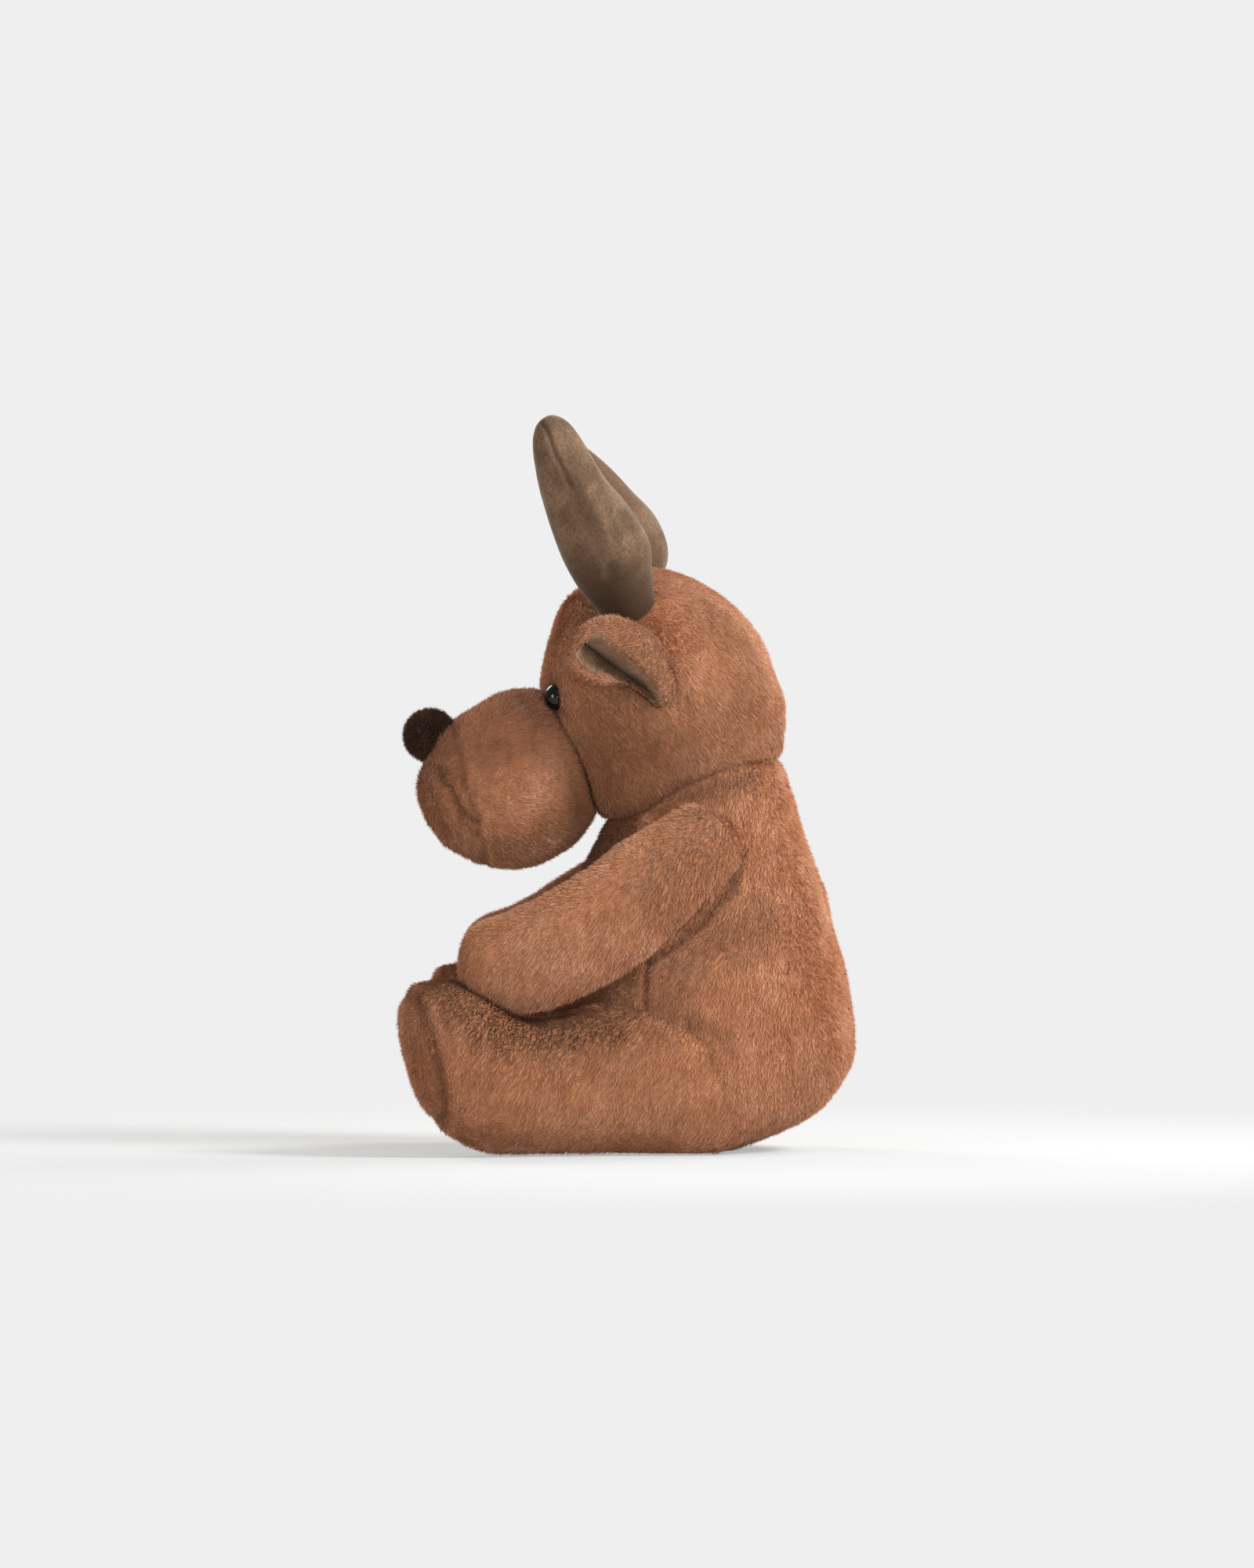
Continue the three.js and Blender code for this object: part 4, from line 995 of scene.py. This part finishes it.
def growPile(skin, name, material, seed, panel=None, **changes):
    # panel picks the points that this piece covers; changes are made to the strand's settings
    look = {**strand, **changes}
    mesh = skin.data
    cover = np.empty(len(mesh.vertices), np.float32)
    mesh.attributes["cover"].data.foreach_get("value", cover)
    kept = cover if panel is None else cover * panel(pointsOf(mesh))
    mesh.attributes["cover"].data.foreach_set("value", kept.astype(np.float32))
    area = sum(face.area * kept[list(face.vertices)].mean() for face in mesh.polygons)
    density = min(look["density"] * 1e6, look["most"] / max(area, 1e-9))
    settings = {
        "Density": density * 1, "Length": look["length"] * mm,
        "Width": look["width"] * mm * 1,
        "Lean": math.radians(look["lean"]), "Unrest": look["unrest"], "Tuft": look["tuft"],
        "Seed": look["firstSeed"] + seed, "Strand": strandShape, "Material": material,
    }
    modifier = skin.modifiers.new("pile", "NODES")
    modifier.node_group = pile
    for item in pile.interface.items_tree:
        if item.in_out == "INPUT" and item.name in settings:
            modifier[item.identifier] = settings[item.name]
    skin.update_tag()
    bpy.context.view_layer.update()
    made = bpy.data.meshes.new_from_object(skin.evaluated_get(bpy.context.evaluated_depsgraph_get()))
    skin.modifiers.remove(modifier)
    mesh.attributes["cover"].data.foreach_set("value", cover)
    made.name = name
    strandMap(made)
    print(name, len(made.polygons), "faces on", round(area * 1e6), "square millimetres")
    return inScene(name, made)


# torso, head and muzzle
backFrom = 0.058  # where the torso's back panel starts, in metres
torsoPanels = {
    "torsoPileBack": lambda p: p[:, 1] > backFrom,
    "torsoPileLeft": lambda p: (p[:, 1] <= backFrom) & (p[:, 0] > 0),
    "torsoPileRight": lambda p: (p[:, 1] <= backFrom) & (p[:, 0] <= 0),
}
headPanels = {"headPileLeft": lambda p: p[:, 0] > 0, "headPileRight": lambda p: p[:, 0] <= 0}

torsoSkin = asObject("torsoSkin", torsoShape, pileSkin)
for i, (name, panel) in enumerate(torsoPanels.items()):
    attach(growPile(torsoSkin, name, pileHair, i, panel), "torso")
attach(torsoSkin, "torso")
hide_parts("torso_cover", "torso_filling")

headSkin = asObject("headSkin", headShape, pileSkin)
for i, (name, panel) in enumerate(headPanels.items()):
    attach(growPile(headSkin, name, pileHair, 10 + i, panel, **head["pile"]), "head")
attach(headSkin, "head")
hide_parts("head_cover", "head_filling")

muzzleSkin = asObject("muzzleSkin", muzzleShape, pileSkin)
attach(growPile(muzzleSkin, "muzzlePile", pileHair, 20, tuft=0.6), "head")
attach(muzzleSkin, "head")
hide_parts("muzzle_cover", "muzzle_front", "muzzle_filling")
print("torso, head and muzzle")


# arms and legs, the far ones set a little apart from the near ones
def farLeg(form):
    # the far foot stands further back and higher than the near one, and its painted shade is weaker
    reached = ramp(-form["points"][:, 1], 40, 80)
    form["points"][:, 1] += leg["far"]["back"] * reached
    form["points"][:, 2] *= 1 + leg["far"]["taller"] * reached
    form["shade"] = leg["far"]["shade"] * form["shade"]


def farArm(form):
    ahead = -form["points"][:, 1]
    reached = ramp(ahead, -30, 0) * (1 - ramp(ahead, 25, 50))
    form["points"] = form["points"] + reached[:, None] * np.array(arm["far"]["shift"])


for side, sign in sides.items():
    for limb, part, shape, moveFar in (("leg", leg, legShape, farLeg), ("arm", arm, armShape, farArm)):
        form = shape
        if sign == right:
            form = mirrorForm(shape)
            moveFar(form)
        name = side + limb.title()
        skin = asObject(f"{name}Skin", form, pileSkin)
        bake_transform(growPile(skin, f"{name}Pile", pileHair, part["seed"] + sign))
        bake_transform(skin)
        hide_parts(*(f"{side}_{node}" for node in part["nodes"]))
print("arms and legs")


# antlers: a beam with a swelling where its folds run together, stuffed velour
antler = {
    "root": (35.5, 0.5, 236.5), "radius": 12, "height": 85, "thickness": 38, "inset": 0.2,
    "prongRoot": (5, -6, 20), "prongLength": 18, "prongDiameter": 27, "joinReach": 8.0,
    "beam": [  # outward, forward, up, thickness
        (0.02, 0.055, 0.13, 0.84), (0.045, 0.09, 0.24, 0.96), (0.07, 0.132, 0.34, 0.99),
        (0.095, 0.192, 0.46, 0.92), (0.12, 0.248, 0.57, 0.81), (0.14, 0.288, 0.68, 0.73),
        (0.155, 0.325, 0.79, 0.635), (0.165, 0.35, 0.88, 0.525), (0.17, 0.362, 0.95, 0.37),
        (0.172, 0.366, 0.988, 0.14)],
    "prong": [
        (0.35, -0.06, 0.08, 1.02), (0.62, -0.11, 0.22, 0.95), (0.8, -0.13, 0.36, 0.75),
        (0.89, -0.14, 0.44, 0.45), (0.92, -0.142, 0.46, 0.12)],
    "lean": {"left": (-2, 0), "right": (0, 18)}, "bow": {"left": 0, "right": 11},
    "voxel": 1.2, "smoothing": 60,
    "seam": [(-34.6, 317.7), (-31.6, 311.8), (-29, 303.3), (-25.7, 296.5), (-23, 289)],
    "folds": [  # path of forward place and height, width, depth, shade
        ([(-23, 289), (-20.6, 283), (-14, 271), (-9, 261), (-7, 252)], 5.5, 0.8, 0.5),
        ([(-13.8, 300), (-8.5, 284), (-4.5, 268), (-7.8, 250)], 3.4, 0.6, 0.3),
        ([(-0.2, 276), (4.1, 266), (4.9, 260)], 2.2, 0.6, 0.2),
        ([(-3, 277), (1.0, 266), (1.4, 258)], 2.4, 0.7, 0.2),
        ([(-7, 279), (-3.0, 268), (-3.4, 259)], 2.6, 0.7, 0.15),
        ([(-24, 253.5), (-17, 250), (-9, 251)], 2.8, 0.3, 0.4),
        ([(-7, 253), (0, 255), (6, 262)], 3.0, 0.25, 0.2),
    ],
}


def turnAbout(points, pivot, lean, droop):
    a, b = math.radians(-lean), math.radians(droop)
    aboutX = np.array([[1, 0, 0], [0, math.cos(a), -math.sin(a)], [0, math.sin(a), math.cos(a)]])
    aboutY = np.array([[math.cos(b), 0, math.sin(b)], [0, 1, 0], [-math.sin(b), 0, math.cos(b)]])
    return (points - pivot) @ (aboutX @ aboutY).T + pivot


def oneSkin(first, second):
    # two overlapping closed forms become one
    shift = len(first["points"])
    faces = first["faces"] + [tuple(v + shift for v in face) for face in second["faces"]]
    mesh = bpy.data.meshes.new("antler")
    mesh.from_pydata((np.concatenate([first["points"], second["points"]]) * mm).tolist(), [], faces)
    obj = inScene("antler", mesh)
    remesh = obj.modifiers.new("one skin", "REMESH")
    remesh.mode = "VOXEL"
    remesh.voxel_size = antler["voxel"] * mm
    smooth = obj.modifiers.new("soft", "SMOOTH")
    smooth.factor = 0.5
    smooth.iterations = antler["smoothing"]
    made = bpy.data.meshes.new_from_object(obj.evaluated_get(bpy.context.evaluated_depsgraph_get()))
    bpy.data.objects.remove(obj)
    return makeForm(pointsOf(made) / mm, [tuple(p.vertices) for p in made.polygons])


def sewAntler(form):
    # the side seam starts at the tip and fades into folds, both with painted shade
    outward = ramp(normalsOf(form)[:, 0], 0.05, 0.4)
    flat = form["points"][:, 1:]
    away = awayFromPath(flat, antler["seam"])
    groove(form, limited(away, outward), 1.25, 0.6, 0.45, 0.35)
    for path, width, depth, shade in antler["folds"]:
        groove(form, limited(awayFromPath(flat, path), outward), width, depth, shade, 0.25 * depth)
    inward = ramp(-normalsOf(form)[:, 0], 0.05, 0.4)
    groove(form, limited(away, inward), 1.5, 0.7, 0.5, 0.3)
    # painted shade at the foot, where the antler meets the head
    darken(form, 0.95 * (1 - ramp(form["points"][:, 2], 236, 268)))
    lumpy(form, (0.35, 16.0, 11.0))


def antlerForm(side):
    root, width, diameter = np.array(antler["root"], float), antler["thickness"], antler["prongDiameter"]
    below = np.array([0, 0, 1e-3])
    stations = stationsAlong(root, root - below, antler["beam"], antler["height"], width, width)
    beam = limbForm(root, antler["radius"], stations, (1, 0, 0), 60, 48, antler["inset"])
    start = root + np.array(antler["prongRoot"], float)
    stations = stationsAlong(
        start, start - below, antler["prong"], antler["prongLength"], diameter, diameter)
    prong = limbForm(start, diameter / 2, stations, (0, -1, 0), 40, 40, antler["inset"])
    beamTree, prongTree = treeOf(beam), treeOf(prong)
    for form, tree in ((beam, prongTree), (prong, beamTree)):
        softJoin(form, (tree,), lambda points: np.full(len(points), antler["joinReach"]))
    form = oneSkin(beam, prong)
    sewAntler(form)
    rise = np.clip((form["points"][:, 2] - root[2]) / antler["height"], 0, 1)
    form["points"][:, 1] += antler["bow"][side] * np.sin(np.pi * rise ** 1.25)
    form["points"] = turnAbout(form["points"], root, *antler["lean"][side])
    return form


for side, sign in sides.items():
    form = antlerForm(side)
    skin = asObject(f"{side}AntlerSkin", form if sign == left else mirrorForm(form), antlerVelour)
    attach(skin, f"{side}_antler")
    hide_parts(f"{side}_antler_cover", f"{side}_antler_filling")
print("antlers")


# ears: folded lengthwise, pile fabric outside and round the rim, velour inside
ear = {
    "foldRoot": (50.5, 8.8, 198.3), "along": (0.4965, -0.6727, 0.5486), "lift": (0, 0.632, 0.775),
    "length": 45, "around": 108, "rings": 60,
    "rows": [  # along, upper side, lower side, depth, hollow
        (-0.22, 9, 2.0, 4.5, 0), (-0.1, 13, 1.6, 6, 0.3), (0, 15.7, 1.2, 7, 0.7), (0.16, 18.6, 1.2, 7.6, 1),
        (0.34, 20.2, 2.6, 8, 1), (0.5, 20, 6.4, 7.8, 1), (0.66, 18.6, 9.4, 7.4, 1),
        (0.8, 16.2, 10, 6.6, 0.95), (0.9, 12.6, 8.4, 5.6, 0.7), (0.97, 7.4, 5.2, 3.8, 0.1)],
    "section": [  # towards the upper or lower side, towards the viewer, the same without a hollow
        (-1.0, 0.6, 0.5), (-0.72, 0.1, 0.75), (-0.35, -0.42, 0.9), (0.0, -0.95, 0.95), (0.07, -0.55, 1.0),
        (0.18, 0.15, 1.0), (0.3, 0.6, 1.0), (0.45, 0.93, 1.0), (0.64, 1.0, 0.9), (0.83, 0.82, 0.7),
        (0.97, 0.35, 0.3), (1.0, -0.3, -0.3), (0.86, -0.8, -0.8), (0.5, -1.05, -1.0), (0.1, -1.15, -1.1),
        (-0.5, -1.0, -0.95), (-1.1, -0.5, -0.4), (-1.3, 0.15, 0.1)],
    "liningRings": (0.13, 0.955), "liningStart": (0.9, 0.25), "liningEnd": (5.9, 8.2), "liningSteps": 40,
    "liningLift": 0.7, "liningSink": 0.4, "furOver": 0.12, "foldPlace": 3.1, "foldWidth": 0.8,
    "pile": {"length": 2.5, "width": 0.45, "density": 3.4},
}


def earForms():
    along, lift = unit(ear["along"]), unit(ear["lift"])
    facing = np.cross(lift, along)
    section = closedCurve(ear["section"], ear["around"])
    rows = smoothRows(ear["rows"], ear["rings"])
    root = np.array(ear["foldRoot"], float)
    rings = []
    for reach, upper, lower, depth, hollow in rows:
        sideways = np.where(section[:, 0] > 0, section[:, 0] * upper, section[:, 0] * lower)
        deep = (section[:, 1] * hollow + section[:, 2] * (1 - hollow)) * depth
        centre = root + along * reach * ear["length"]
        rings.append(centre + np.outer(sideways, lift) + np.outer(deep, facing))
    rings = np.array(rings)
    middles = rings.mean(1)
    cover = loftForm(rings, middles[0] - along * 0.5, middles[-1] + along * 1.2)
    place = np.arange(ear["around"]) * len(ear["section"]) / ear["around"]
    first, last = (int(share * ear["rings"]) for share in ear["liningRings"])
    normals = normalsOf(cover)[:-2].reshape(ear["rings"], ear["around"], 3)
    bare = np.zeros((ear["rings"], ear["around"]))
    over = ear["furOver"]
    loops, foldShade = [], []
    for i in range(first, last):
        t = (i - first) / (last - first)
        start, end = (low + (high - low) * t ** 2 for low, high in (ear["liningStart"], ear["liningEnd"]))
        bare[i] = ramp(place, start + over, start + 3 * over) * (1 - ramp(place, end - 3 * over, end - over))
        bare[i] *= ramp(np.array(i), first, first + 3) * (1 - ramp(np.array(i), last - 4, last - 1))
        across = np.linspace(start, end, ear["liningSteps"])
        at = across * ear["around"] / len(ear["section"])
        low = at.astype(int)
        part = (at - low)[:, None]
        patch = rings[i][low] * (1 - part) + rings[i][low + 1] * part
        way = normals[i][low] * (1 - part) + normals[i][low + 1] * part
        below = (patch - way * ear["liningSink"])[::-1]
        loops.append(np.concatenate([patch + way * ear["liningLift"], below]))
        # painted shade down the lining's fold
        fold = 0.9 * np.exp(-((across - ear["foldPlace"]) / ear["foldWidth"]) ** 2)
        foldShade.append(np.concatenate([fold, fold[::-1]]))
    cover["cover"] = np.append(1 - bare.ravel(), [0, 1])
    # painted shade: the lower rim near the root stands in for shadow there, and the whole outside is darkened
    # a little
    lowerRim = (1 - ramp(place, 2, 4) + ramp(place, 14, 15.5))[None, :]
    nearRoot = (1 - ramp(rows[:, 0], 0.3, 0.55))[:, None]
    cover["shade"] = np.append(np.maximum(lowerRim * nearRoot, 0.3).ravel(), [1, 0.3])
    lumpy(cover, (0.35, 7.0, 13.0))
    combed(cover, np.array([0.35, -0.6, -0.1]), 0.5, 9.0)
    lining = loftForm(np.array(loops), loops[0].mean(0), loops[-1].mean(0))
    lining["shade"] = np.append(np.array(foldShade).ravel(), [0, 0])
    return cover, lining


for side, sign in sides.items():
    cover, lining = (form if sign == left else mirrorForm(form) for form in earForms())
    skin = asObject(f"{side}EarSkin", cover, pileSkin)
    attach(growPile(skin, f"{side}EarPile", pileHair, 50 + sign, **ear["pile"]), f"{side}_ear")
    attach(skin, f"{side}_ear")
    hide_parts(f"{side}_ear_cover")
    inside = asObject(f"{side}EarLining", lining, liningVelour)
    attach(inside, f"{side}_ear")
    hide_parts(f"{side}_ear_lining")
print("ears")


# glossy safety eyes, and their washers inside the head
eye = {
    "point": (19.3, -32.9, 197.0), "facing": (0.1, -0.99, -0.08), "radius": 6, "height": 5.2, "sink": 1.9,
    "shankRadius": 2.2, "shankLength": 9, "domeSteps": 14, "around": 48,
    "rim": [(0.93, -0.9), (1, -0.4), (1, 0)],  # share of the radius, height
}


def eyeForm():
    radius, shankRadius, shankLength = eye["radius"], eye["shankRadius"], eye["shankLength"]
    profile = [(0.01, -shankLength), (shankRadius, -shankLength), (shankRadius, -1.0)]
    profile += [(radius * share, level) for share, level in eye["rim"]]
    for i in range(1, eye["domeSteps"]):
        angle = math.pi / 2 * i / eye["domeSteps"]
        profile.append((radius * math.cos(angle), eye["height"] * math.sin(angle)))
    facing = unit(eye["facing"])
    across = unit(np.cross((0, 0, 1), facing))
    rise = np.cross(facing, across)
    centre = np.array(eye["point"], float) - facing * eye["sink"]
    profile = np.array(profile)
    return ringForm(centre + facing * profile[:, 1:], across * profile[:, :1], rise * profile[:, :1],
                    eye["around"], centre - facing * shankLength, centre + facing * eye["height"])


for side, sign in sides.items():
    form = eyeForm()
    button = asObject(f"{side}EyeButton", form if sign == left else mirrorForm(form), blackEye)
    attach(button, "head")
    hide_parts(f"{side}_eye")
    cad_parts[f"{side}_eye_washer"].data.materials.clear()
    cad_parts[f"{side}_eye_washer"].data.materials.append(washerPlastic)
print("eyes")


# pompom nose, and the firm filling in the neck, which the head turns on
nose = {
    "centre": (0, -86.1, 180.4), "radius": 10.2,
    "pile": {"density": 6.0, "length": 2.6, "width": 0.5, "lean": 14, "unrest": 0.35},
}
neck = {"centre": (0, 28.8, 158.5), "radius": 30}

pompom = ballForm(nose["centre"], nose["radius"], 24, 40)
lumpy(pompom, (0.35, 3.0, 0.0))
combed(pompom, np.array([0, 0, -1.0]))
noseBall = asObject("noseBall", pompom, noseSkin)
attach(growPile(noseBall, "nosePile", noseHair, 60, **nose["pile"]), "head")
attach(noseBall, "head")
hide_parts("nose")

neckBall = ballForm(neck["centre"], neck["radius"], 30, 48)
lumpy(neckBall, (0.9, 9.0, 0.0))
neckPad = asObject("neckPad", neckBall, looseFilling)
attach(neckPad, "neck")
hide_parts("neck_filling")
print("nose and neck")

bpy.data.objects.remove(strandShape)
